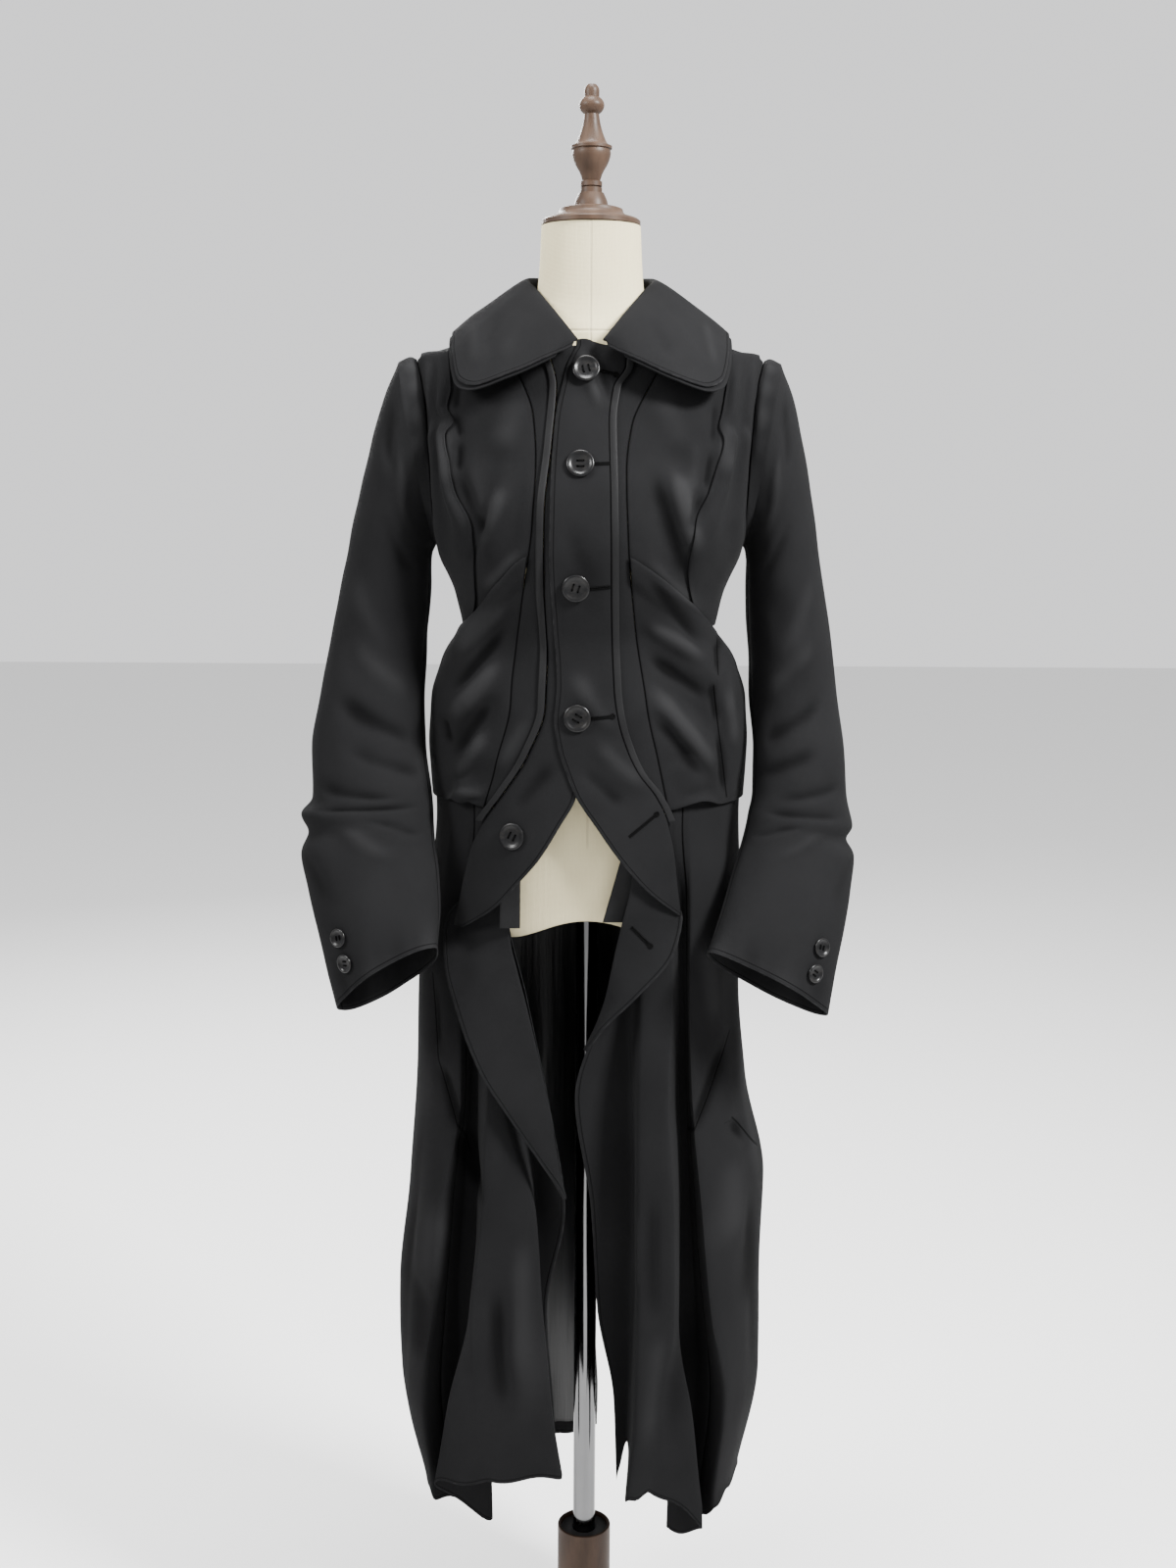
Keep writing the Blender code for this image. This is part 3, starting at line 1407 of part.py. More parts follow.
def make_buttons():
    for number, place in enumerate(FRONT_BUTTONS, start=1):
        angle = coat_angle(place.x, place.z, centre_puff(place.z))
        point = coat_point(angle, place.z, centre_puff(place.z))
        way = Vector((0, -1, 0))
        button("button_%d" % number, FRONT_BUTTON_RADIUS, place.carrier, point, way)
    for mark, rows, side in (("l", SLEEVE_L, 1), ("r", SLEEVE_R, -1)):
        surface = sleeve_surface(rows, side)
        for number, place in enumerate(CUFF_BUTTONS, start=1):
            share = 1.0 - place.rows_up / len(rows)
            point = surface(place.turn, share)
            way = (point - surface(place.turn + 180.0, share)).normalized()
            name = "cuff_button_%s%d" % (mark, number)
            button(name, CUFF_BUTTON_RADIUS, "sleeve_top_" + mark, point, way)


def clear_scene():
    for thing in list(bpy.context.scene.objects):
        bpy.data.objects.remove(thing, do_unlink=True)


def main():
    clear_scene()
    make_stand()
    make_form()
    make_finial()
    make_plackets()
    make_bindings()
    make_fronts()
    make_chests()
    make_drapes()
    make_hips()
    make_backs()
    make_collar()
    make_sleeves()
    make_skirt()
    make_turnbacks()
    make_tabs()
    make_buttons()


main()
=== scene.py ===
import math

import bmesh
import bpy
import numpy as np
from mathutils import Matrix, Vector
from mathutils.bvhtree import BVHTree


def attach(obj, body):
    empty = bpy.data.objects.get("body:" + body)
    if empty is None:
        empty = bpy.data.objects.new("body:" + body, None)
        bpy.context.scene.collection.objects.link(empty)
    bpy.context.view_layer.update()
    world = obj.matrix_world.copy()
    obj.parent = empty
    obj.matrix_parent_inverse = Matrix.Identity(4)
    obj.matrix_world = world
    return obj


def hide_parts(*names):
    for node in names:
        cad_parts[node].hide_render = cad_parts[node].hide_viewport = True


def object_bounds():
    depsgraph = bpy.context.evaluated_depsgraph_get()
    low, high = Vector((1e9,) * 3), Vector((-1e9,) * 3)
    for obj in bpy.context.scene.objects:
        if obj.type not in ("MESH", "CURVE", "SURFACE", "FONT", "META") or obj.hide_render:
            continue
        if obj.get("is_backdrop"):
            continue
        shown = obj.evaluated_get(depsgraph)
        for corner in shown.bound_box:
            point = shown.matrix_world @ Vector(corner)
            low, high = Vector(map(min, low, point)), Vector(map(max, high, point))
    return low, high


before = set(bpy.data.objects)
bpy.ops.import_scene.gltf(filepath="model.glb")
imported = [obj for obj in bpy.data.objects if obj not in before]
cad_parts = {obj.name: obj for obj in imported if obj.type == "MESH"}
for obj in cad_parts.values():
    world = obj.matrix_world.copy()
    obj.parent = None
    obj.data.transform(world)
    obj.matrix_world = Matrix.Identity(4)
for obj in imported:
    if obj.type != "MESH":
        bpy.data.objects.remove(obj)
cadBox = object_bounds()
print("frame loaded")

# Tables are in millimetres: +X is the wearer's left, -Y the front, +Z up, floor at 0.
mm = 0.001
cloth = {
    "wall": 1.5,            # thickness of the coat's cloth
    "seam": 0.3,            # gap between neighbouring pieces
    "layer": 2.2,           # from the middle of one layer to the middle of the next
    "round": 0.9,           # how far in from its edge a piece reaches its full thickness
    "edge": 0.44,           # share of the thickness left at the very edge
    "step": 4.2,            # spacing of a piece's points
    "sink": 0.7,            # how far a sewn edge sinks in, and how widely
    "sinkWidth": 4.5,
    "folds": 1.7,           # depth of every drawn fold, against its listed height
    "waves": 0.9,           # height of the slow waves all over the cloth
    "waveSize": 85.0,
    "leastSide": 11.0,      # smallest side and share of cover noted for a flat piece
    "leastCover": 0.31,
}
levels = {"shoulder": 1495.0, "underarm": 1310.0, "pocketLine": 1045.0}
shoulderZ, underarmZ, pocketLineZ = levels.values()


# small helpers; every one of them takes arrays

def ease(value):            # 0 to 1 with level ends
    value = np.clip(value, 0.0, 1.0)
    return value * value * (3 - 2 * value)


def mix(a, b, share):
    return a + (b - a) * share


def points(x, y, z):
    return np.stack(np.broadcast_arrays(x, y, z), -1).astype(float)


def direction(ways):
    return ways / np.maximum(np.linalg.norm(ways, axis=-1, keepdims=True), 1e-9)


def powered(value, power):
    return np.copysign(np.abs(value) ** power, value)


def hermite(start, end, startWay, endWay, t):
    rest = 1 - t
    return (start * (1 + 2 * t) * rest * rest + startWay * t * rest * rest
            + end * t * t * (3 - 2 * t) - endWay * t * t * rest)


class Curve:                # smooth through its values, never past them
    def __init__(self, knots, values):
        order = np.argsort(knots)
        self.knots = np.array(knots, dtype=float)[order]
        self.values = np.array(values, dtype=float)[order]
        steps = np.diff(self.values) / np.diff(self.knots)
        a, b = steps[:-1], steps[1:]
        inner = np.divide(2 * a * b, a + b, out=np.zeros_like(a), where=a * b > 0)
        self.slopes = np.concatenate([steps[:1], inner, steps[-1:]])

    def __call__(self, knot):
        i = np.clip(np.searchsorted(self.knots, knot, side="right") - 1, 0, len(self.knots) - 2)
        step = self.knots[i + 1] - self.knots[i]
        t = np.clip((knot - self.knots[i]) / step, 0.0, 1.0)
        return hermite(self.values[i], self.values[i + 1], self.slopes[i] * step,
                       self.slopes[i + 1] * step, t)


def curvesOf(columns, rows):        # one curve over the first column for each of the others
    return {name: Curve([row[0] for row in rows], [row[i] for row in rows])
            for i, name in enumerate(columns.split()) if i}


def seam(rows):
    return curvesOf("z x", rows)["x"]


class Rings:                # rounded sections stacked in z: angle 0 is the front, 90 the wearer's left
    def __init__(self, rows):
        self.at = curvesOf("z halfWidth front back power", rows)

    def point(self, angle, z):
        angle, z = np.broadcast_arrays(angle, z)
        power = 2.0 / self.at["power"](z)
        turn = np.radians(angle)
        depth = np.where(np.abs(angle) <= 90, self.at["front"](z), self.at["back"](z))
        x = self.at["halfWidth"](z) * powered(np.sin(turn), power)
        return points(x, -depth * powered(np.cos(turn), power), z)

    def angle(self, x, z):
        share = np.minimum(1.0, np.abs(x) / self.at["halfWidth"](z))
        return np.copysign(np.degrees(np.arcsin(share ** (self.at["power"](z) / 2))), x)


def ridges(x, z, rows):     # soft ridges (height above 0) and troughs, each from one (x, z) to another
    total = 0.0 * (x + z)
    for x1, z1, x2, z2, width, height in rows:
        runX, runZ = x2 - x1, z2 - z1
        share = ((x - x1) * runX + (z - z1) * runZ) / (runX ** 2 + runZ ** 2)
        across = np.hypot(x - x1 - share * runX, z - z1 - share * runZ)
        total = total + height * ease(share * 3) * ease((1 - share) * 3) * np.exp(-(across / width) ** 2)
    return total


def uneven(grid, size, seed):       # slow waves, from about -1 to 1
    total = 0.0
    for i in range(5):
        turn = seed * 1.7 + i * 2.4
        way = np.array([math.cos(turn), math.sin(turn * 1.3) * 0.8, math.sin(turn)])
        total = total + np.sin(grid @ way * (math.tau / size) * (0.6 + 0.3 * i) + seed * 3.1 + i * 1.9)
    return total / 4


# finishes

class Value:                # a socket that can be worked with like a number
    def __init__(self, shader, socket):
        self.shader = shader
        self.socket = socket

    def math(self, operation, a, b=None):
        values = {0: a} if b is None else {0: a, 1: b}
        return self.shader.node("ShaderNodeMath", {"operation": operation}, values)

    def __add__(self, other):
        return self.math("ADD", self, other)

    def __radd__(self, other):
        return self.math("ADD", other, self)

    def __sub__(self, other):
        return self.math("SUBTRACT", self, other)

    def __rsub__(self, other):
        return self.math("SUBTRACT", other, self)

    def __mul__(self, other):
        return self.math("MULTIPLY", self, other)

    def __rmul__(self, other):
        return self.math("MULTIPLY", other, self)

    def __abs__(self):
        return self.math("ABSOLUTE", self)

    def sine(self):
        return self.math("SINE", self)

    def band(self, low, high, start=0.0, end=1.0):      # goes smoothly from start to end between low and high
        return self.shader.node("ShaderNodeMapRange", {"interpolation_type": "SMOOTHSTEP"},
                                {0: self, 1: low, 2: high, 3: start, 4: end})


class Finish:
    def __init__(self, name, settings):
        self.material = bpy.data.materials.new(name)
        self.material.use_nodes = True
        self.tree = self.material.node_tree
        self.shader = self.tree.nodes["Principled BSDF"]
        self.give(self.shader, settings)
        color = settings.get("Base Color", (0.5, 0.5, 0.5, 1))
        self.material.diffuse_color = color
        self.local = self.node("ShaderNodeTexCoord", output="Object")
        self.cut = self.node("ShaderNodeTexCoord", output="UV")

    def give(self, node, values):
        for key, value in values.items():
            if isinstance(value, Value):
                self.tree.links.new(value.socket, node.inputs[key])
            else:
                node.inputs[key].default_value = value

    def node(self, kind, settings=None, values=None, output=0):
        node = self.tree.nodes.new(kind)
        for key, value in (settings or {}).items():
            setattr(node, key, value)
        self.give(node, values or {})
        return Value(self, node.outputs[output])

    def noise(self, where, scale, detail=3.0, rough=0.55):
        return self.node("ShaderNodeTexNoise", {},
                         {"Vector": where, "Scale": scale, "Detail": detail, "Roughness": rough})

    def stretched(self, where, scale):
        return self.node("ShaderNodeVectorMath", {"operation": "MULTIPLY"}, {0: where, 1: scale})

    def split(self, vector):
        node = self.tree.nodes.new("ShaderNodeSeparateXYZ")
        self.give(node, {0: vector})
        return [Value(self, node.outputs[i]) for i in range(3)]

    def blend(self, share, a, b):
        return self.node("ShaderNodeMix", {"data_type": "RGBA"}, {0: share, 6: a, 7: b}, output=2)

    def relief(self, height, depth):        # depth in metres for a height of 1
        return self.node("ShaderNodeBump", {}, {"Strength": 1.0, "Distance": depth, "Height": height})

    def marks(self):        # what shell() noted on the mesh, in millimetres
        line, near, hem = self.split(self.node("ShaderNodeAttribute", {"attribute_name": "drawn"},
                                               output="Vector"))
        edge = self.node("ShaderNodeAttribute", {"attribute_name": "edge"}, output="Fac")
        fold = self.node("ShaderNodeAttribute", {"attribute_name": "fold"}, output="Fac")
        return line, near, hem, edge, fold


def gray(value, tint=0.0):
    return (value, value, value * (1 + tint), 1.0)


woolFinish = {
    "dark": gray(0.0046, 0.05),
    "light": gray(0.0100, 0.04),
    # colour of real wear at the hems, also used as painted highlight on the fold ridges
    "wearAndHighlight": gray(0.020, 0.03),
    # near black: painted shade in fold troughs, along seams and stitch lines and at sewn edges
    "paintedShade": gray(0.0002),
    "twill": 700.0,         # turns out as ribs 0.9 mm apart
    "stitchIn": 4.0,        # how far in from its edge a hem is stitched
}


def makeWool():
    look = woolFinish
    wool = Finish("coat wool", {"Base Color": look["dark"], "Roughness": 0.7, "Specular IOR Level": 0.012,
                                "Sheen Weight": 0.01, "Sheen Roughness": 0.4})
    line, near, hem, edge, fold = wool.marks()
    twill = wool.node("ShaderNodeTexWave", {"bands_direction": "DIAGONAL"},
                      {"Vector": wool.cut, "Scale": look["twill"], "Distortion": 2.0, "Detail": 1.0,
                       "Detail Scale": 1.5})
    fuzz = wool.noise(wool.local, 900.0, 2.0)
    nap = wool.noise(wool.local, 160.0, 3.0)
    cloud = wool.noise(wool.local, 14.0, 3.0)
    # stitch, sewn and the sewn-edge mask below say where painted shade darkens the colour: in the stitch
    # grooves, along drawn seams and at sewn edges
    stitch = 1 - abs(hem - look["stitchIn"]).band(0.25, 0.9)
    sewn = (1 - abs(line).band(0.3, 1.2)) * near.band(0.4, 0.6)
    paintedShade = 1 - edge.band(0.15, 1.5)
    wear = (1 - hem.band(0.2, 2.0)) * nap.band(0.35, 0.75)
    color = wool.blend(cloud * 0.5 + fuzz * 0.3 + twill * 0.2, look["dark"], look["light"])
    # painted highlight on the fold ridges and painted shade in the fold troughs, from the fold height noted
    # on the mesh
    color = wool.blend(fold.band(0.3, 4.5) * 0.5, color, look["wearAndHighlight"])
    color = wool.blend((-1 * fold).band(0.3, 4.0) * 0.65, color, look["paintedShade"])
    color = wool.blend(wear * 0.55, color, look["wearAndHighlight"])
    # painted shade along stitch lines, drawn seams and sewn edges
    color = wool.blend(stitch * 0.45 + sewn * 0.7 + paintedShade * 0.85, color, look["paintedShade"])
    height = twill * 0.4 + fuzz * 0.5 + nap * 0.9 - (stitch + sewn) * 3.2
    rough = 0.78 + nap * 0.16 - wear * 0.08
    wool.give(wool.shader, {"Base Color": color, "Roughness": rough,
                            "Normal": wool.relief(height, 0.00022)})
    return wool.material


def makeSatin():
    satin = Finish("binding satin", {"Base Color": gray(0.018), "Roughness": 0.5,
                                     "Specular IOR Level": 0.04, "Anisotropic": 0.4})
    edge = satin.marks()[3]
    threads = satin.noise(satin.stretched(satin.cut, (2600.0, 160.0, 1.0)), 1.0, 2.0)
    cloud = satin.noise(satin.local, 30.0, 2.0)
    color = satin.blend(threads * 0.5 + cloud * 0.5, gray(0.0050, 0.04), gray(0.0110, 0.03))
    # painted shade darkens the satin along its sewn edges
    color = satin.blend((1 - edge.band(0.2, 1.3)) * 0.8, color, gray(0.001))
    satin.give(satin.shader, {"Base Color": color, "Roughness": 0.36 + cloud * 0.16 + threads * 0.06,
                              "Normal": satin.relief(threads + cloud * 2.0, 0.00012)})
    return satin.material


def makeLining():
    lining = Finish("glossy lining", {"Base Color": gray(0.004), "Roughness": 0.28,
                                      "Specular IOR Level": 0.3, "Anisotropic": 0.3})
    streak = lining.noise(lining.stretched(lining.local, (60.0, 60.0, 3.0)), 1.0, 3.0)
    weave = lining.noise(lining.stretched(lining.cut, (1500.0, 1500.0, 1.0)), 1.0, 1.0)
    color = lining.blend(streak.band(0.35, 0.7), gray(0.003, 0.1), gray(0.010, 0.1))
    lining.give(lining.shader, {"Base Color": color, "Roughness": 0.22 + streak * 0.22,
                                "Normal": lining.relief(streak * 6 + weave * 0.5, 0.0003)})
    return lining.material


def makeButtonHorn():
    horn = Finish("button horn", {"Base Color": gray(0.01), "Roughness": 0.2, "Specular IOR Level": 0.16,
                                  "Coat Weight": 0.02, "Coat Roughness": 0.12})
    streak = horn.noise(horn.stretched(horn.local, (90.0, 90.0, 260.0)), 1.0, 4.0)
    scratch = horn.noise(horn.stretched(horn.local, (1800.0, 300.0, 600.0)), 1.0, 2.0)
    color = horn.blend(streak.band(0.4, 0.75), gray(0.003, 0.1), (0.008, 0.0075, 0.007, 1))
    horn.give(horn.shader, {"Base Color": color, "Roughness": 0.2 + scratch * 0.2,
                            "Normal": horn.relief(scratch * 0.6 + streak, 0.00008)})
    return horn.material


def makeThread():
    thread = Finish("sewing thread", {"Base Color": gray(0.01), "Roughness": 0.7, "Specular IOR Level": 0.03})
    ply = thread.node("ShaderNodeTexWave", {"bands_direction": "DIAGONAL"},
                      {"Vector": thread.local, "Scale": 420.0, "Distortion": 1.0})
    color = thread.blend(ply, gray(0.0004), gray(0.0016))
    thread.give(thread.shader, {"Base Color": color, "Roughness": 0.5 + ply * 0.2,
                                "Normal": thread.relief(ply, 0.0002)})
    return thread.material


def makeLinen():
    linen = Finish("form linen", {"Base Color": (0.64, 0.58, 0.45, 1), "Roughness": 0.9,
                                  "Specular IOR Level": 0.1})
    x, y, z = linen.split(linen.local)
    warp = (x * 5200.0 + linen.noise(linen.local, 120.0, 1.0) * 3.0).sine()
    weft = (z * 5200.0 + linen.noise(linen.local, 90.0, 1.0) * 3.0).sine()
    slub = linen.noise(linen.stretched(linen.local, (500.0, 500.0, 60.0)), 1.0, 3.0)
    cloud = linen.noise(linen.local, 9.0, 3.0)
    middle = (1 - abs(x).band(0.0005, 0.0017)) * (z - 1.0).band(0.0, 0.01)
    around = 1 - abs(z - 1.5205).band(0.0005, 0.0018)
    sewn = middle + around
    color = linen.blend(cloud * 0.6 + slub * 0.4, (0.44, 0.38, 0.235, 1), (0.56, 0.51, 0.335, 1))
    color = linen.blend(sewn * 0.3, color, (0.30, 0.26, 0.19, 1))
    height = warp * 0.35 + weft * 0.35 + slub * 1.2 - sewn * 3.5
    linen.give(linen.shader, {"Base Color": color, "Roughness": 0.82 + slub * 0.14,
                              "Normal": linen.relief(height, 0.00016)})
    return linen.material


def makeWalnut():
    walnut = Finish("dark walnut", {"Base Color": (0.06, 0.025, 0.013, 1), "Roughness": 0.36,
                                    "Specular IOR Level": 0.14, "Coat Weight": 0.03, "Coat Roughness": 0.3})
    bent = walnut.noise(walnut.local, 7.0, 2.0)
    x, y, z = walnut.split(walnut.local)
    rings = (x * 260.0 + bent * 22.0 + z * 14.0).sine()
    grain = walnut.noise(walnut.stretched(walnut.local, (240.0, 28.0, 60.0)), 1.0, 4.0)
    pores = walnut.noise(walnut.stretched(walnut.local, (1400.0, 90.0, 700.0)), 1.0, 2.0).band(0.62, 0.74)
    color = walnut.blend(0.2 + rings * 0.1 + grain * 0.5,
                         (0.017, 0.0095, 0.0060, 1), (0.070, 0.042, 0.027, 1))
    color = walnut.blend(pores * 0.6, color, (0.012, 0.006, 0.004, 1))
    walnut.give(walnut.shader, {"Base Color": color, "Roughness": 0.40 + grain * 0.14 + pores * 0.15,
                                "Normal": walnut.relief(grain * 0.4 - pores, 0.00012)})
    return walnut.material


def makeChrome():
    chrome = Finish("chrome tube", {"Base Color": gray(0.78), "Roughness": 0.12, "Metallic": 1.0})
    brushed = chrome.noise(chrome.stretched(chrome.local, (900.0, 900.0, 12.0)), 1.0, 2.0)
    smudge = chrome.noise(chrome.local, 16.0, 3.0)
    color = chrome.blend(smudge, gray(0.09, 0.03), gray(0.14, 0.01))
    chrome.give(chrome.shader, {"Base Color": color, "Roughness": 0.07 + brushed * 0.06 + smudge * 0.07})
    return chrome.material


def makeRubber():
    rubber = Finish("rubber ring", {"Base Color": gray(0.025), "Roughness": 0.6, "Specular IOR Level": 0.4})
    dust = rubber.noise(rubber.local, 240.0, 3.0)
    rubber.give(rubber.shader, {"Base Color": rubber.blend(dust, gray(0.014), gray(0.042)),
                                "Roughness": 0.5 + dust * 0.2, "Normal": rubber.relief(dust, 0.0001)})
    return rubber.material


looks = {       # finish: its material and the slot it belongs to
    "wool": (makeWool(), "wool"),
    "satin": (makeSatin(), "satin"),
    "lining": (makeLining(), "lining"),
    "horn": (makeButtonHorn(), "button"),
    "thread": (makeThread(), "satin"),
    "linen": (makeLinen(), "linen"),
    "walnut": (makeWalnut(), "walnut"),
    "chrome": (makeChrome(), "chrome_tube"),
    "rubber": (makeRubber(), "rubber_ring"),
}
print("finishes made")


# meshes

def put(name, mesh, look, nodes=(), sharp=50.0):
    material, slot = looks[look]
    piece = bpy.data.objects.new(name, mesh)
    bpy.context.scene.collection.objects.link(piece)
    mesh.materials.append(material)
    mesh.shade_smooth()
    mesh.set_sharp_from_angle(angle=math.radians(sharp))
    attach(piece, "root")
    if nodes:
        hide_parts(*nodes)
    return piece


def meshOf(name, places, faces):
    mesh = bpy.data.meshes.new(name)
    mesh.from_pydata((np.asarray(places).reshape(-1, 3) * mm).tolist(), [], faces)
    bm = bmesh.new()
    bm.from_mesh(mesh)
    bmesh.ops.recalc_face_normals(bm, faces=bm.faces)
    bm.to_mesh(mesh)
    bm.free()
    return mesh


def facing(grid, core):     # outward direction at each point, halfway between the two sides of a fold
    ways = []
    for axis in (1, 0):
        steps = direction(np.diff(grid, axis=axis))
        first, last = steps.take([0], axis), steps.take([-1], axis)
        ways.append(np.concatenate([first, steps], axis) + np.concatenate([steps, last], axis))
    normals = direction(np.cross(ways[0], ways[1]))
    out = ((grid - core) * normals)[..., :2].sum()
    return normals if out >= 0 else -normals


def drawnIn(grid):          # half a seam gap in at every edge, with a line of points just inside it
    for axis in (0, 1):
        lines = []
        for edge, near in ((0, 1), (-1, -2)):
            start = grid.take([edge], axis)
            way = grid.take([near], axis) - start
            length = np.maximum(np.linalg.norm(way, axis=-1, keepdims=True), 1e-6)
            lines.append([start + way * np.minimum(size / length, part)
                          for size, part in ((cloth["seam"] / 2, 0.2), (cloth["round"], 0.6))])
        middle = grid[1:-1] if axis == 0 else grid[:, 1:-1]
        grid = np.concatenate([*lines[0], middle, *reversed(lines[1])], axis)
    return grid


def runs(grid, axis):       # length along the cloth from its first edge
    steps = np.linalg.norm(np.diff(grid, axis=axis), axis=-1)
    total = np.cumsum(steps, axis=axis)
    return np.concatenate([np.zeros_like(total.take([0], axis)), total], axis)


def nearestLine(grid, rows):        # signed distance to the nearest drawn seam, and 1 close to it
    best = np.full(grid.shape[:2], 99.0)
    near = np.zeros(grid.shape[:2])
    for side, x1, z1, x2, z2 in rows:
        run = np.array([x2 - x1, z2 - z1])
        offset = grid[..., [0, 2]] - np.array([x1, z1])
        share = offset @ run / (run @ run)
        across = (offset[..., 0] * run[1] - offset[..., 1] * run[0]) / np.linalg.norm(run)
        here = (np.abs(across) < np.abs(best)) & (share > 0) & (share < 1) & (grid[..., 1] * side > 0)
        best = np.where(here, across, best)
        near = np.where(here, (np.abs(across) < 9) * 1.0, near)
    return best, near


def shell(name, grid, look, nodes, core, thickness, hem, free, lines, fold):
    grid = drawnIn(grid)
    normals = facing(grid, core)
    rows, columns = grid.shape[:2]
    half = np.full((rows, columns, 1), thickness / 2)
    half[[0, -1]] *= cloth["edge"]
    half[:, [0, -1]] = thickness / 2 * cloth["edge"]
    places = np.concatenate([grid + normals * half, grid - normals * half])
    outer, inner = np.arange(2 * rows * columns).reshape(2, rows, columns)
    quads = [
        np.stack([outer[:-1, :-1], outer[:-1, 1:], outer[1:, 1:], outer[1:, :-1]], -1).reshape(-1, 4),
        np.stack([inner[:-1, :-1], inner[1:, :-1], inner[1:, 1:], inner[:-1, 1:]], -1).reshape(-1, 4),
    ]
    for a, b in ((outer[0], inner[0]), (inner[-1], outer[-1]), (inner[:, 0], outer[:, 0]),
                 (outer[:, -1], inner[:, -1])):
        quads.append(np.stack([a[:-1], b[:-1], b[1:], a[1:]], -1))
    mesh = meshOf(name, places, np.concatenate(quads).tolist())
    right, down = runs(grid, 1), runs(grid, 0)
    flat = np.stack([np.tile(right.mean(0), (rows, 1)), np.tile(down.mean(1)[:, None], (1, columns))], -1)
    corners = np.zeros(len(mesh.loops), dtype=np.int64)
    mesh.loops.foreach_get("vertex_index", corners)
    uv = np.concatenate([flat.reshape(-1, 2)] * 2)[corners] * mm
    mesh.uv_layers.new(name="cut").data.foreach_set("uv", uv.astype(np.float32).ravel())
    depths = {"l": right, "r": right[:, -1:] - right, "t": down, "b": down[-1:] - down}
    far = np.full((rows, columns), 99.0)
    edge = np.minimum.reduce([far] + [depths[side] for side in "lrtb" if side not in hem + free])
    hemmed = np.minimum.reduce([far] + [depths[side] for side in hem])
    line, near = nearestLine(grid, lines)
    noted = {"drawn": ("FLOAT_VECTOR", "vector", np.stack([line, near, hemmed], -1).reshape(-1, 3)),
             "edge": ("FLOAT", "value", edge.ravel()),
             "fold": ("FLOAT", "value", np.pad(fold, 1, mode="edge").ravel())}
    for key, (kind, field, values) in noted.items():
        both = np.concatenate([values, values]).astype(np.float32).ravel()
        mesh.attributes.new(key, kind, "POINT").data.foreach_set(field, both)
    piece = put(name, mesh, look, nodes)
    crossed = np.cross(grid[1:, :-1] - grid[:-1, :-1], grid[:-1, 1:] - grid[:-1, :-1])
    area = np.linalg.norm(crossed, axis=-1).sum()
    wide, long = (max(side, cloth["leastSide"]) for side in (right[:, -1].max(), down[-1].max()))
    scale = max(1.0, math.sqrt(area / (wide * long))) * 1.002
    wide, long = wide * scale, long * scale
    area = max(area, cloth["leastCover"] * wide * long)
    return piece


def sew(node, place, lift=0.0, move=None, columns=None, step=None, look="wool", core=(0, 0, 0),
        thickness=None, hem="", free="", lines=()):
    # cuts one piece of the coat from a surface place(s, t), s across and t down; its edges are l, r, t and b:
    # a hem is stitched, a free edge hangs loose, and the others are sewn to a neighbour and sink in a little
    step = step or cloth["step"]
    s, t = np.linspace(0, 1, 9)[None, :], np.linspace(0, 1, 9)[:, None]
    rough = place(s, t)
    if columns is None:
        columns = np.linspace(0, 1, max(5, round(runs(rough, 1)[:, -1].max() / step)) + 1)
    rows = np.linspace(0, 1, max(5, round(runs(rough, 0)[-1].max() / step)) + 1)
    s, t = np.asarray(columns)[None, :], rows[:, None]
    grid = place(s, t)
    rise = lift(s, t) if callable(lift) else lift
    fold = np.zeros(grid.shape[:2])
    if move:
        fold = fold + move(grid, s, t)
        rise = rise + fold
    across, down = runs(grid, 1), runs(grid, 0)
    for side, depth in (("l", across), ("r", across[:, -1:] - across), ("t", down), ("b", down[-1:] - down)):
        if side not in hem + free:
            rise = rise - cloth["sink"] * np.exp(-(depth / cloth["sinkWidth"]) ** 2)
    core = np.array(core, dtype=float)
    grid = grid + facing(grid, core) * (rise + np.zeros(grid.shape[:2]))[..., None]
    return shell(node + "_cloth", grid, look, [node], core, thickness or cloth["wall"], hem, free, lines,
                 fold)


# the coat's surface

form = Rings([              # z, half width, front and back depth, squareness
    (1628, 50.5, 48, 48, 2.0),
    (1580, 53, 49, 50, 2.0),
    (1556, 56, 50, 54, 2.0),
    (1536, 69, 54, 63, 1.85),
    (1520, 96.8, 60, 70, 1.63),
    (1504, 133, 63, 73, 1.6),
    (1486, 155, 69, 79, 1.75),
    (1465, 158, 76, 86, 1.95),
    (1440, 158, 88, 94, 2.1),
    (1400, 155, 103, 98, 2.3),
    (1350, 150, 117, 98, 2.3),
    (1310, 145, 121, 94, 2.2),
    (1261, 127, 113, 84, 2.2),
    (1210, 116, 101, 76, 2.1),
    (1160, 113, 95, 74, 2.1),
    (1110, 128, 97, 84, 2.1),
    (1045, 147, 101, 97, 2.1),
    (990, 154, 103, 104, 2.1),
    (906, 148, 97, 100, 2.1),
])
body = Rings([              # the fitted upper body of the coat
    (1548, 63, 58, 66, 2.0),
    (1536, 77, 62, 72, 1.8),
    (1520, 105, 67, 78, 1.6),
    (1506, 148, 71, 81, 1.55),
    (shoulderZ, 178, 77, 86, 1.65),
    (1470, 183, 87, 97, 1.9),
    (1440, 182, 99, 105, 2.1),
    (1400, 176, 114, 109, 2.3),
    (1350, 167, 128, 108, 2.4),
    (underarmZ, 158, 132, 104, 2.3),
    (1261, 138, 124, 94, 2.2),
    (1210, 127, 112, 86, 2.1),
    (1150, 124, 106, 84, 2.1),
])
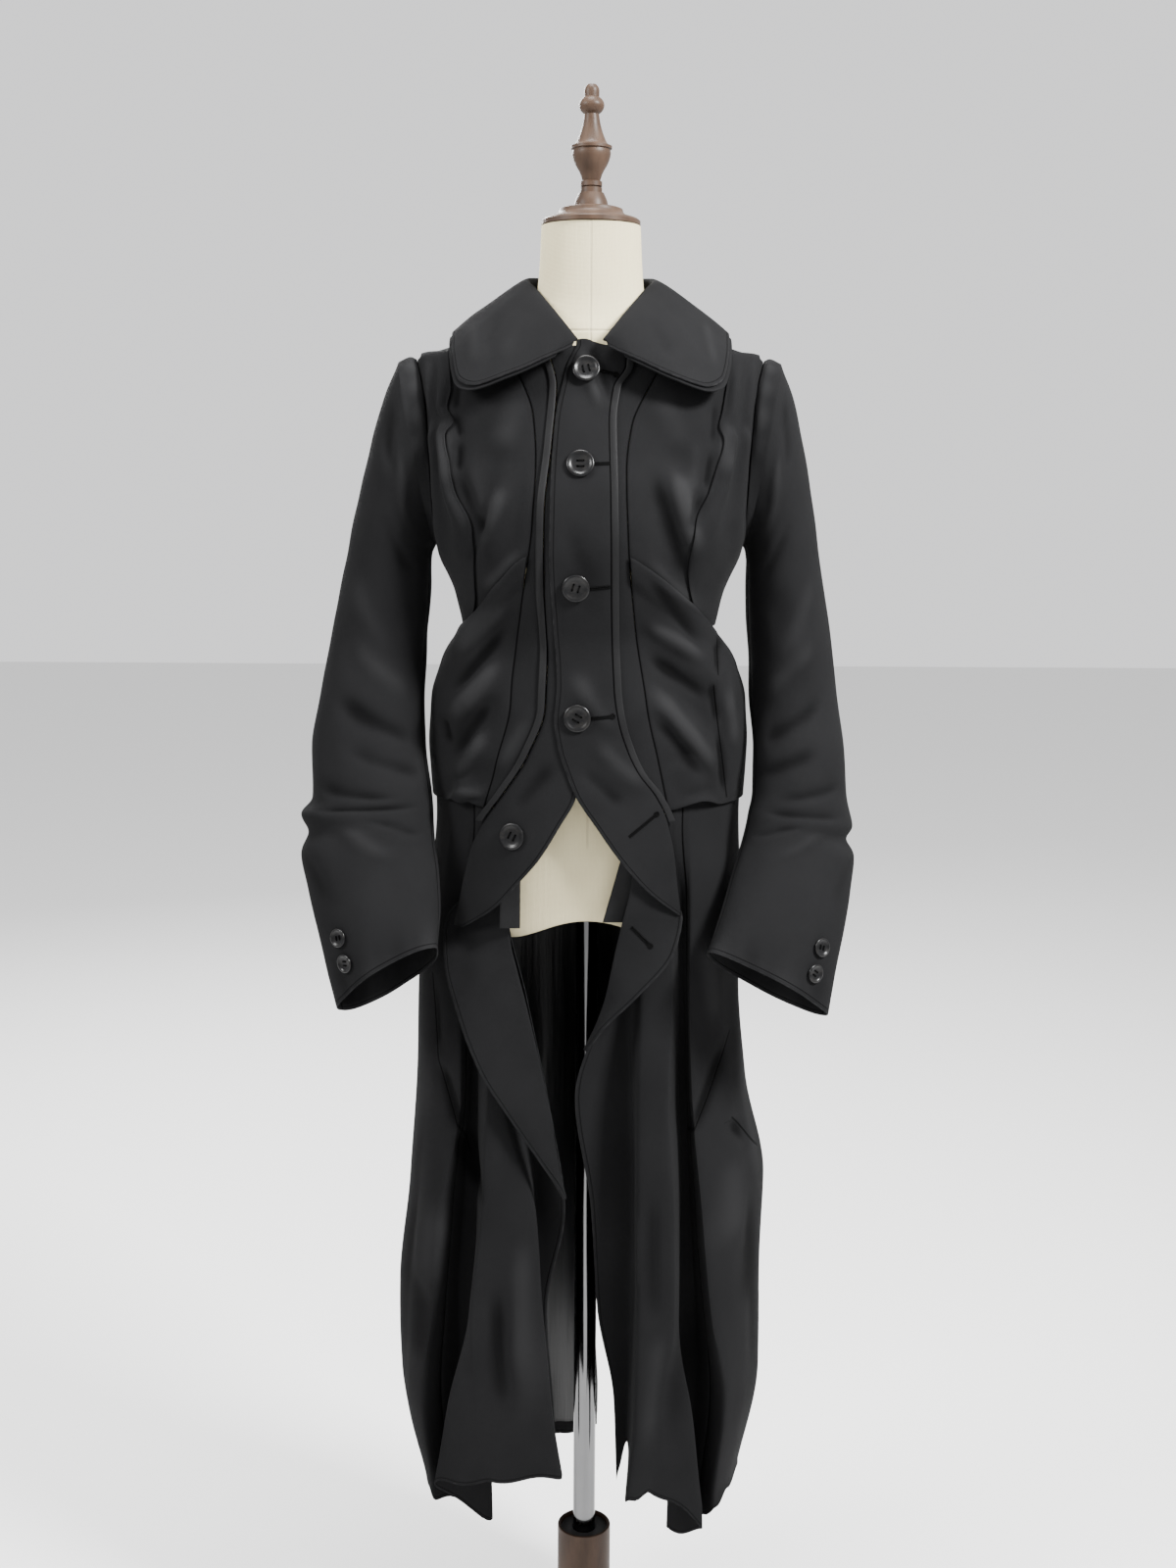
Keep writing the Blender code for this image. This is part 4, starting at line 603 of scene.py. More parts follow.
hips = Rings([              # the fuller shape under the hip panels
    (1310, 166, 138, 112, 2.2),
    (1250, 146, 130, 104, 2.1),
    (1215, 145, 127, 102, 2.0),
    (1180, 157, 124, 102, 2.0),
    (1150, 165, 122, 106, 2.0),
    (1095, 168, 124, 114, 1.95),
    (pocketLineZ, 165, 130, 120, 1.95),
    (1000, 164, 136, 124, 1.95),
    (945, 166, 141, 126, 1.95),
    (900, 170, 144, 128, 1.95),
])
armhole = seam([
    (shoulderZ, 178),
    (1462, 168.5),
    (1425, 164),
    (1375, 160.5),
    (1332, 158.5),
    (underarmZ, 158),
])
princessRows = {
    "l": [
        (1524, 96),
        (1497, 78),
        (1469, 61),
        (1426, 41),
        (1383, 36),
        (1316, 38),
        (1247, 44),
        (1222, 47),
        (1150, 58),
        (1097, 70),
        (1040, 82),
    ],
    "r": [
        (1524, 96),
        (1500, 81),
        (1473, 69),
        (1437, 56),
        (1397, 53),
        (1329, 56),
        (1259, 66),
        (1196, 74),
        (1150, 78),
        (1096, 91),
        (1040, 107),
    ],
}
sideBackRows = [
    (1440, 165.8),
    (1422, 151),
    (1400, 135),
    (1370, 118),
    (1335, 103),
    (1290, 88),
    (1240, 78),
    (1180, 70),
    (1110, 82),
    (1040, 98),
]
neckline = [                # z and angle round the neck
    (1500, 14),
    (1503, 24),
    (1512, 40),
    (1524, 58),
    (1537, 86),
    (1544, 180),
]
neckAngle = curvesOf("z angle", neckline)["angle"]
neckHeight = Curve([row[1] for row in neckline], [row[0] for row in neckline])
sides = {"l": 1, "r": -1}

# x1, z1, x2, z2, width, height of the large folds in the solids
bodyFolds = [
    (120, 1330, 62, 1440, 16, -3.0),
    (112, 1262, 74, 1400, 13, 3.5),
    (96, 1250, 55, 1380, 12, -3.5),
    (-118, 1325, -88, 1420, 15, -3.0),
    (-104, 1252, -76, 1400, 13, 3.5),
    (-88, 1252, -66, 1400, 12, -3.5),
]
hipFolds = [
    (70, 1240, 150, 1150, 14, 5.5),
    (70, 1190, 152, 1100, 13, -5.0),
    (76, 1160, 140, 1062, 13, 5.0),
    (92, 1100, 112, 1056, 14, 5.0),
    (-82, 1230, -150, 1120, 15, 5.5),
    (-86, 1180, -148, 1085, 14, -5.0),
    (-104, 1120, -140, 1060, 13, 5.0),
    (-128, 1074, -118, 1052, 12, 6.0),
]
# and of the smaller creases, on the front and on the back
creases = {
    "front": [
        (46, 1305, 126, 1230, 8, 1.6),
        (50, 1290, 122, 1198, 7, -2.0),
        (49, 1238, 122, 1194, 8, 2.6),
        (52, 1207, 128, 1152, 7, -2.3),
        (53, 1182, 134, 1078, 9, 2.6),
        (60, 1150, 128, 1066, 7, -2.0),
        (131, 1222, 131, 1176, 4, -1.8),
        (124, 1178, 133, 1124, 5, -2.2),
        (133, 1128, 143, 1044, 5, -2.2),
        (140, 1172, 152, 1090, 7, 1.8),
        (60, 1392, 97, 1272, 9, -2.2),
        (78, 1398, 108, 1292, 9, 2.2),
        (66, 1470, 96, 1392, 16, 1.4),
        (-81, 1374, -115, 1292, 8, 2.6),
        (-94, 1360, -119, 1285, 5, -2.2),
        (-62, 1308, -108, 1262, 8, 2.2),
        (-72, 1262, -146, 1188, 9, 2.4),
        (-76, 1234, -148, 1150, 7, -2.3),
        (-82, 1202, -146, 1126, 9, 2.6),
        (-92, 1162, -142, 1088, 8, -2.2),
        (-98, 1130, -140, 1064, 8, 2.2),
        (-149, 1136, -142, 1102, 5, -2.4),
        (-100, 1058, -140, 1062, 5, 2.2),
        (-66, 1470, -92, 1392, 16, 1.4),
        (-15, 1508, 14, 1434, 6, 1.9),
        (0, 1506, 24, 1440, 6, -1.5),
        (-131, 1476, -135, 1438, 5, -1.8),
        (-135, 1442, -129, 1410, 5, -1.8),
        (-129, 1414, -131, 1376, 5, -1.8),
        (-131, 1382, -97, 1310, 6, -1.8),
        (-141, 1440, -138, 1356, 7, 1.8),
        (-118, 1400, -104, 1326, 9, 1.2),
        (124, 1458, 122, 1402, 5, -1.8),
        (122, 1406, 113, 1360, 5, -1.8),
        (113, 1366, 94, 1320, 6, -1.8),
        (134, 1440, 130, 1368, 7, 1.8),
        (106, 1420, 99, 1350, 9, 1.2),
        (-46, 1330, -46, 1180, 4, -1.8),
        (-38, 1320, -37, 1180, 5, 0.9),
        (-26, 1340, 14, 1250, 12, -1.0),
        (-22, 1190, 32, 1118, 10, 1.6),
        (0, 1124, 62, 1062, 10, 1.8),
        (-10, 1092, 40, 1048, 8, -1.6),
        (-52, 1152, -98, 1072, 9, 1.6),
        (-30, 1100, -82, 1036, 9, -1.4),
    ],
    "back": [
        (-30, 1300, -18, 1150, 12, -1.6),
        (34, 1290, 20, 1140, 12, -1.6),
        (-96, 1420, -60, 1340, 12, 1.6),
        (98, 1416, 62, 1330, 12, 1.6),
        (-120, 1230, -60, 1150, 11, 1.8),
        (118, 1226, 58, 1146, 11, 1.8),
        (-128, 1180, -70, 1100, 9, -1.6),
        (126, 1184, 72, 1104, 9, -1.6),
        (-60, 1188, 58, 1182, 8, 1.4),
        (-48, 1164, 50, 1168, 7, -1.3),
        (-44, 1450, 40, 1452, 10, -1.0),
        (-100, 1090, -66, 1052, 9, 1.2),
        (104, 1094, 70, 1054, 9, 1.2),
    ],
}


def creased(grid):
    x, y, z = np.moveaxis(grid, -1, 0)
    total = (ridges(x, z, creases["front"]) * ease((-y - 22) / 25)
             + ridges(x, z, creases["back"]) * ease((y - 22) / 25))
    return cloth["folds"] * total


def bodyMove(grid, s, t):
    calm = ease((1506 - grid[..., 2]) / 70)
    return creased(grid) + cloth["waves"] * uneven(grid, cloth["waveSize"], 1) * calm


def centrePuff(z):          # the fitted body gives way to the fuller hips down the centre front and back
    return ease((1225.0 - z) / 85.0)


def coatPoint(angle, z, puff):
    spot = mix(body.point(angle, z), hips.point(angle, z), np.asarray(puff)[..., None])
    x = spot[..., 0]
    height = mix(ridges(x, z, bodyFolds), ridges(x, z, hipFolds), puff) * ease((90 - np.abs(angle)) / 6)
    outward = direction(spot * np.array([1.0, 1.0, 0.0]))
    return spot + outward * height[..., None]


def coatAngle(x, z, puff):
    return mix(body.angle(x, z), hips.angle(x, z), puff)


def atCentre(x, z):
    return coatAngle(x, z, centrePuff(z))


def backAngle(x, z, side):
    return side * (180.0 - np.abs(atCentre(x, z)))


def armholeAngle(z, side):
    open = (z < shoulderZ) & (z > underarmZ)
    return side * np.where(open, np.minimum(90.0, np.abs(body.angle(armhole(z), z))), 90.0)


def level(z):               # an edge that keeps one height
    return lambda s: z + 0 * s


def centred(s, z):
    return centrePuff(z)


def fitted(s, z):
    return 0 * z


# the coat between two edges given as angles and two as heights
def between(left, right, top, bottom, puff):
    def place(s, t):
        z = mix(top(s), bottom(s), t)
        return coatPoint(mix(left(z), right(z), s), z, puff(s, z))
    return place


# plackets, bindings, fronts

placket = {
    "edges": {              # z, then x of the two edges
        "l": [
            (1501, -14, 36),
            (1484, -23, 35),
            (1463, -28, 23),
            (1431, -34, 19),
            (1370, -38, 20.5),
            (1302, -39, 21.5),
            (1234, -35, 22.5),
            (1170, -31, 25),
            (1138, -34, 29.5),
            (1110, -30, 38),
            (1085, -22, 49),
            (1061, -12, 67),
            (1034, 6, 80),
            (996, 33, 88),
            (965, 60, 91.5),
            (938, 92, 95),
        ],
        "r": [
            (1500, -6, -42),
            (1464, -4, -33),
            (1411, -8, -37),
            (1342, -10, -44),
            (1275, -10, -45),
            (1201, -6, -41),
            (1150, -4, -43),
            (1102, -4, -60),
            (1060, -12, -86),
            (1031, -28, -106),
            (998, -48, -121),
            (974, -68, -127),
            (946, -92, -133),
            (918, -128, -139),
        ],
    },
    "bound": {"l": "outer", "r": "outer"},
    "bindingWidth": 7.0,
    "bindingEnd": 1000.0,
    "bindingPadding": 0.45,
    "raise": {"l": 2.0, "r": 5.0},      # how far its top edge stands up
    "peak": {"l": 8.0, "r": 0.0},       # and its top corner above that
}
centreFront = {"end": 1048.0, "endWidth": 3.0, "neckSide": 1536.0, "tuck": {"l": -1.5, "r": -0.3}}

for mark, side in sides.items():
    rows = placket["edges"][mark]
    edge = curvesOf("z inner outer", rows)
    over = cloth["layer"] if mark == "l" else 0.0

    def standTop(s):
        return rows[0][0] + placket["raise"][mark] + placket["peak"][mark] * np.exp(-((s - 0.15) / 0.4) ** 2)

    place = between(lambda z: atCentre(edge["inner"](z), z), lambda z: atCentre(edge["outer"](z), z),
                    standTop, level(rows[-1][0]), centred)
    sew("placket_" + mark, place, lift=over, move=bodyMove, hem="l", free="tb")

    def bindingEdge(z, width):
        return atCentre(edge["outer"](z) + side * (cloth["seam"] + width), z)

    low = min(row[0] for row in rows if row[0] > placket["bindingEnd"])
    place = between(lambda z: bindingEdge(z, 0), lambda z: bindingEdge(z, placket["bindingWidth"]),
                    level(rows[0][0]), level(low), centred)
    sew("binding_" + mark, place,
        lift=lambda s, t: cloth["layer"] + placket["bindingPadding"] * np.sin(math.pi * s) + 0 * t,
        move=bodyMove, step=2.2, free="lrtb", look="satin")

    seamX = seam(princessRows[mark])
    topZ = princessRows[mark][0][0]

    def frontInner(z):
        beside = atCentre(edge["outer"](z) + centreFront["tuck"][mark], z)
        return side * np.maximum(np.abs(beside), np.where(z > neckline[0][0], neckAngle(z), 0.0))

    def frontOuter(z):
        reach = np.maximum(seamX(z), np.abs(edge["outer"](z)) + centreFront["endWidth"])
        return np.where(z > topZ, 90.0 * side, atCentre(side * reach, z))

    place = between(frontInner, frontOuter, level(centreFront["neckSide"]),
                    level(centreFront["end"]), centred)
    sew("front_" + mark, place, move=bodyMove)
print("fronts sewn")


# side fronts, gathered layers, hip panels

hipPanel = {
    "edge": {               # its top edge: x and z at the princess seam, half way, then z at side and back
        "l": (40, 1300, 92, 1256, 1212, 1240),
        "r": (62, 1300, 105, 1240, 1216, 1240),
    },
    "lap": 12.0,            # how far the panels above go down under it
    "swell": 36.0,
    "backAngle": 146.0,
    "pocketRise": 7.0,
    "pocketEnd": 0.24,
    "rim": 1.2,
    "rimLoose": 3.0,
    "roll": 8.0,            # its edge rolls in over this height
    "rollDepth": 4.2,
    "puff": 1.8,            # and stands up this much below that
    "lip": 8.0,             # how far the pocket's mouth stands open
}
gathers = {
    "edges": {
        "l": [
            (1500, 142, 172),
            (1462, 134, 166),
            (1440, 130, 162),
            (1426, 127, 160),
            (1412, 130, 159),
            (1389, 125, 157),
            (1360, 117, 156),
            (1322, 98, 156),
            (1296, 97, 152),
            (1262, 99, 136),
            (1226, 112, 128),
        ],
        "r": [
            (1500, -142, -172),
            (1462, -138, -166),
            (1444, -141, -162),
            (1430, -135, -160),
            (1416, -141, -159),
            (1392, -137, -157),
            (1365, -133, -156),
            (1322, -114, -156),
            (1296, -113, -152),
            (1262, -112, -136),
            (1226, -118, -128),
        ],
    },
    "pinch": {"l": 1426.0, "r": 1430.0},
    "pinchHeight": 9.0,
    "ridge": 5.0,
    "ease": 0.8,
}
chestTopZ = 1521.0


def hipEdge(mark):          # height of the panel's top edge at an angle round the body
    startX, startZ, midX, midZ, sideZ, backZ = hipPanel["edge"][mark]
    angles = [float(body.angle(startX, startZ)), float(body.angle(midX, midZ)), 90.0, hipPanel["backAngle"]]
    return Curve(angles, [startZ, midZ, sideZ, backZ])


def pocketArch(s):          # 0 at both ends of the pocket mouth, 1 at its middle
    return np.sin(math.pi * np.minimum(1.0, s / hipPanel["pocketEnd"])) ** 2


for mark, side in sides.items():
    seamX = seam(princessRows[mark])
    brink = hipEdge(mark)
    startZ = hipPanel["edge"][mark][1]
    startAngle = abs(float(coatAngle(side * seamX(startZ), startZ, 0.0)))
    place = between(lambda z: coatAngle(side * seamX(z), z, 0.0), lambda z: armholeAngle(z, side),
                    level(chestTopZ), lambda s: brink(mix(startAngle, 90.0, s)) - hipPanel["lap"], fitted)
    sew("chest_" + mark, place, move=bodyMove, free="b")

    rows = gathers["edges"][mark]
    edge = curvesOf("z inner outer", rows)

    def gathered(s, t):     # ridges that run down it, pressed together at the pinch
        z = mix(rows[0][0], rows[-1][0], t)
        pinch = 1 - 0.72 * np.exp(-((z - gathers["pinch"][mark]) / gathers["pinchHeight"]) ** 2)
        wander = s + 0.03 * np.sin(z / 23.0)
        ridge = (0.5 - 0.5 * np.cos(math.tau * 2 * wander)) ** 1.2 * ease(s * 8) * ease((1 - s) * 8)
        tall = ease((1500.0 - z) / 40.0) * ease((z - 1280.0) / 60.0)
        return cloth["layer"] + gathers["ease"] + gathers["ridge"] * ridge * tall * pinch

    place = between(lambda z: coatAngle(edge["inner"](z), z, 0.0),
                    lambda z: coatAngle(edge["outer"](z), z, 0.0),
                    level(rows[0][0]), level(rows[-1][0]), fitted)
    sew("drape_" + mark, place, lift=gathered, move=bodyMove, step=2.8, free="lrb")

    startAngle = abs(float(atCentre(side * seamX(startZ), startZ)))
    sideBack = seam(sideBackRows)

    def hipTop(s):
        return brink(mix(startAngle, hipPanel["backAngle"], s))

    def hipBottom(s):
        return pocketLineZ + hipPanel["pocketRise"] * pocketArch(s)

    def hipPuff(s, z):
        swell = ease(s / 0.22) * ease((1 - s) / 0.15) * ease((hipTop(s) - z) / hipPanel["swell"])
        return mix(centrePuff(z), 1.0, swell)

    def hipLift(s, t):
        below = (hipTop(s) - hipBottom(s)) * t
        loose = ease(s / 0.15) * ease((0.85 - s) / 0.15)
        rim = cloth["layer"] + hipPanel["rim"] + hipPanel["rimLoose"] * loose
        rolled = hipPanel["rollDepth"] * loose * (1 - ease(below / hipPanel["roll"]))
        puffed = hipPanel["puff"] * loose * np.exp(-((below - 11) / 7) ** 2)
        above = (hipTop(s) - hipBottom(s)) * (1 - t)
        lip = hipPanel["lip"] * pocketArch(s) * np.exp(-(above / 8) ** 2)
        return rim * ease((hipPanel["lap"] * 3 - below) / (hipPanel["lap"] * 1.5)) - rolled + puffed + lip

    place = between(lambda z: atCentre(side * seamX(z), z), lambda z: backAngle(sideBack(z), z, side),
                    hipTop, hipBottom, hipPuff)
    hipLines = {"l": [(-1, 131, 1218, 131, 1176), (-1, 126, 1171, 132, 1128),
                      (-1, 132, 1128, 143, 1050)],
                "r": []}
    sew("hip_" + mark, place, lift=hipLift, move=bodyMove, step=3.8, free="tb",
        lines=hipLines[mark])

    def armholeBack(z):
        inside = (z < shoulderZ) & (z > underarmZ)
        return side * np.where(inside, 180.0 - np.abs(body.angle(armhole(z), z)), 90.0)

    place = between(lambda z: 180.0 * side + 0 * z,
                    lambda z: np.where(z < sideBackRows[0][0], backAngle(sideBack(z), z, side),
                                       armholeBack(z)),
                    lambda s: neckHeight(mix(180.0, 90.0, s)), level(pocketLineZ), centred)
    sew("back_" + mark, place, move=bodyMove)
    place = between(lambda z: backAngle(sideBack(z), z, side), armholeBack, level(sideBackRows[0][0] - 2.0),
                    lambda s: brink(mix(hipPanel["backAngle"], 90.0, s)) - hipPanel["lap"], fitted)
    sew("side_back_" + mark, place, move=bodyMove, free="b")
print("body sewn")


# collar

collar = {
    "stations": [           # angle round the neck, roll x y z, edge x y z, how much undercollar shows
        (14, 14, -88, 1508, 18, -93, 1502, 2),
        (22, 25, -77, 1522, 46, -106, 1488, 3),
        (34, 38, -56, 1539, 80, -108, 1473, 3),
        (48, 49, -34, 1553, 114, -99, 1463, 4),
        (60, 56, -18, 1562, 130, -84, 1470, 6),
        (72, 62, -4, 1569, 138, -50, 1499, 6),
        (88, 66, 10, 1574, 140, -8, 1520, 5),
        (108, 62, 30, 1578, 128, 38, 1513, 4),
        (140, 42, 54, 1580, 88, 84, 1495, 3),
        (180, 0, 68, 1581, 0, 108, 1487, 2),
    ],
    "stand": 0.28,          # share of its depth that stands up inside
    "roll": 13.0,
    "thickness": 2.0,
    "lift": 1.6,
    "underLift": -0.8,
    "underStart": 0.5,
    "underEnd": 1.1,
    "creases": [
        (112, 1538, 124, 1474, 6, 1.8),
        (56, 1542, 82, 1484, 11, -1.4),
        (92, 1540, 96, 1480, 10, 0.9),
        (-118, 1536, -112, 1476, 8, 1.5),
        (-58, 1540, -88, 1482, 11, 1.4),
        (-90, 1546, -104, 1490, 8, -1.1),
    ],
}
stations = collar["stations"]
collarAt = {name: Curve(range(len(stations)), [row[i] for row in stations])
            for i, name in enumerate("neck rollX rollY rollZ edgeX edgeY edgeZ under".split())}


# u from the right tip (-1) round the back (0) to the left tip (1), t from the neck out
def collarPlace(u, t):
    side = np.where(u >= 0, 1.0, -1.0)
    knot = (len(stations) - 1) * (1 - np.abs(u))
    at = {name: curve(knot) for name, curve in collarAt.items()}
    foot = body.point(at["neck"] * side, neckHeight(at["neck"])) + np.array([0, 0, cloth["layer"]])
    roll = points(at["rollX"] * side, at["rollY"], at["rollZ"])
    edge = points(at["edgeX"] * side, at["edgeY"], at["edgeZ"])
    fall = edge - roll
    length = np.linalg.norm(fall, axis=-1, keepdims=True)
    turn = direction(fall * np.array([1.0, 1.0, 0.0])) * np.minimum(collar["roll"], 0.5 * length)
    up = np.array([0.0, 0.0, 1.0])
    rise = np.linalg.norm(roll - foot, axis=-1, keepdims=True) * 0.8 * up
    t = np.asarray(t, dtype=float)[..., None]
    stand = hermite(foot, roll, rise, turn, np.clip(t / collar["stand"], 0, 1))
    over = hermite(roll, edge, turn * 1.6, fall * 0.9 - 0.12 * length * up,
                   np.clip((t - collar["stand"]) / (1 - collar["stand"]), 0, 1))
    return np.where(t < collar["stand"], stand, over)


def undercollarPlace(s, t):
    u = mix(-1, 1, mix(0.03, 0.97, s))
    depth = mix(collar["underStart"], collar["underEnd"], t)
    fall = direction(collarPlace(u, 1.0 + 0 * t) - collarPlace(u, 0.9 + 0 * t))
    knot = (len(stations) - 1) * (1 - np.abs(u))
    shown = collarAt["under"](knot) * np.maximum(0.0, (depth - 1.0) / (collar["underEnd"] - 1.0))
    return collarPlace(u, np.minimum(depth, 1.0)) + fall * shown[..., None]


def collarMove(grid, s, t):
    x, y, z = np.moveaxis(grid, -1, 0)
    return (0.7 * uneven(grid, 70, 4) + ridges(x, z, collar["creases"])) * ease((t - 0.3) * 4)


sew("collar", lambda s, t: collarPlace(mix(-1, 1, s), t),
    lift=lambda s, t: collar["lift"] * ease(t / collar["stand"]) + 0 * s,
    move=collarMove, step=3.6, thickness=collar["thickness"], hem="b", free="lrt")
sew("collar_under", undercollarPlace, lift=collar["underLift"], move=collarMove, step=3.6,
    free="lrtb")
print("collar sewn")


# sleeves

sleeve = {
    "sections": {           # outer x z, inner x z, middle y, half depth, pitch
        "l": [
            (195, 1492, 161, 1307, 0, 57, 0),
            (207, 1462, 163, 1303, 0, 56, 0),
            (217, 1424, 164, 1298, 0, 55, 0),
            (226, 1380, 165, 1288, 0, 53, 0),
            (234, 1334, 165, 1270, 0, 51, 0),
            (242, 1282, 166, 1240, -1, 49, 0),
            (252, 1222, 169, 1196, -4, 48, 0),
            (260, 1160, 170, 1148, -10, 47, 0),
            (267, 1100, 173, 1098, -32, 46, 0),
            (269, 1052, 172, 1056, -48, 45, 2),
            (274, 1022, 167, 1034, -58, 44, 4),
            (267, 1008, 164, 1020, -63, 43, 5),
            (275, 990, 160, 1006, -70, 43, 6),
            (270, 956, 150, 978, -86, 43, 9),
            (256, 896, 133, 930, -113, 42, 14),
            (242, 838, 121, 901, -129, 40, 18),
        ],
        "r": [
            (196, 1492, 161, 1307, 0, 57, 0),
            (210, 1462, 163, 1303, 0, 56, 0),
            (222, 1424, 165, 1298, 0, 55, 0),
            (233, 1380, 166, 1288, 0, 53, 0),
            (244, 1334, 166, 1270, 0, 51, 0),
            (255, 1282, 168, 1240, -1, 49, 0),
            (268, 1222, 171, 1196, -4, 48, 0),
            (279, 1160, 173, 1148, -17, 47, 0),
            (288, 1100, 171, 1098, -33, 47, 0),
            (286, 1048, 164, 1056, -50, 47, 2),
            (297, 1030, 162, 1038, -55, 47, 3),
            (289, 1012, 161, 1022, -60, 46, 4),
            (297, 990, 159, 1002, -66, 46, 6),
            (288, 954, 154, 972, -77, 46, 10),
            (272, 896, 151, 930, -96, 44, 18),
            (254, 836, 152, 898, -110, 42, 24),
        ],
    },
    "seams": {"top": (-12.0, 168.0), "under": (168.0, 348.0)},      # degrees: 0 outer side, 90 front
    "clear": 0.7,
    "puckers": 0.6,         # little rises along the sleeve head
    "headRise": 2.6,        # which stands up over the seam
    "cuffWave": 1.8,
    "folds": 1.3,
    # creases, flattened: degrees and share of the length, from one end to the other, width, height
    "creases": [
        (40, 0.50, 160, 0.555, 7, -2.2),
        (60, 0.555, 168, 0.60, 7, -1.9),
        (20, 0.60, 130, 0.635, 7, -2.0),
        (30, 0.66, 150, 0.675, 8, -1.8),
        (50, 0.44, 150, 0.50, 9, 1.6),
        (35, 0.36, 120, 0.46, 11, 1.4),
        (70, 0.26, 140, 0.34, 12, -1.3),
        (60, 0.72, 120, 0.86, 9, 1.4),
        (90, 0.70, 150, 0.80, 8, -1.4),
        (10, 0.78, 60, 0.92, 10, -1.1),
        (75, 0.10, 110, 0.24, 12, 1.5),
        (40, 0.08, 70, 0.20, 12, -1.4),
        (200, 0.50, 330, 0.56, 8, -2.0),
        (210, 0.58, 320, 0.62, 8, -1.9),
        (220, 0.42, 300, 0.50, 10, 1.5),
        (230, 0.66, 330, 0.70, 8, -1.5),
        (240, 0.26, 290, 0.36, 12, 1.3),
        (230, 0.76, 290, 0.88, 10, 1.2),
        (250, 0.10, 300, 0.22, 13, -1.3),
    ],
}


def armholePoint(side, turn):       # turn 0 is the shoulder, 90 the front, 180 the underarm
    z = (shoulderZ + underarmZ) / 2 + (shoulderZ - underarmZ) / 2 * np.cos(np.radians(turn))
    angle = np.abs(armholeAngle(z, side))
    angle = np.where(np.sin(np.radians(turn)) < 0, 180.0 - angle, angle)
    return body.point(angle * side, z)


for mark, side in sides.items():
    rows = sleeve["sections"][mark]
    at = {name: Curve(range(len(rows)), [row[i] for row in rows])
          for i, name in enumerate("outerX outerZ innerX innerZ y halfDepth pitch".split())}

    def section(turn, knot):
        outer = points(at["outerX"](knot) * side, at["y"](knot), at["outerZ"](knot))
        inner = points(at["innerX"](knot) * side, at["y"](knot), at["innerZ"](knot))
        across = points(0 * knot, -at["halfDepth"](knot), at["pitch"](knot))
        angle = np.radians(turn)[..., None]
        return (outer + inner) / 2 + (outer - inner) / 2 * np.cos(angle) + across * np.sin(angle)

    def sleevePlace(turn, share):
        turn, knot = np.broadcast_arrays(turn, share * len(rows) - 1)
        head = armholePoint(side, turn) + np.array([sleeve["clear"] * side, 0, 0])
        near = np.clip(knot + 1, 0, 1)[..., None]
        return np.where(knot[..., None] >= 0, section(turn, np.maximum(knot, 0)),
                        mix(head, section(turn, 0 * knot), near))

    for half, (start, end) in sleeve["seams"].items():
        def sleeveMove(grid, s, t):
            turn = mix(start, end, s)
            total = sleeve["folds"] * ridges(turn * 0.85, t * 640, [
                (a * 0.85, b * 640, c * 0.85, d * 640, width, height)
                for a, b, c, d, width, height in sleeve["creases"]])
            head = sleeve["puckers"] * np.sin(np.radians(turn) * 17) * np.exp(-((t - 0.035) / 0.03) ** 2)
            head = head * ease((np.cos(np.radians(turn)) + 0.3) * 2)
            proud = (sleeve["headRise"] * np.exp(-((t - 0.022) / 0.028) ** 2)
                     * ease((np.cos(np.radians(turn)) + 0.2) * 2))
            wave = sleeve["cuffWave"] * np.sin(np.radians(turn) * 5 + 1.3) * ease((t - 0.9) * 10)
            hemRoll = 0.7 * np.exp(-((1 - t) / 0.012) ** 2)
            return (total + head + proud + wave + 0.8 * uneven(grid, 75, 2)) * ease(t * 60) + hemRoll

        core = sleevePlace(np.array([[0.0, 180.0]]), np.array([[0.5]])).mean((0, 1))
        sew("sleeve_%s_%s" % (half, mark), lambda s, t: sleevePlace(mix(start, end, s), t), move=sleeveMove,
            step=4.4, core=core, hem="b", free="t")
print("sleeves sewn")


# skirt

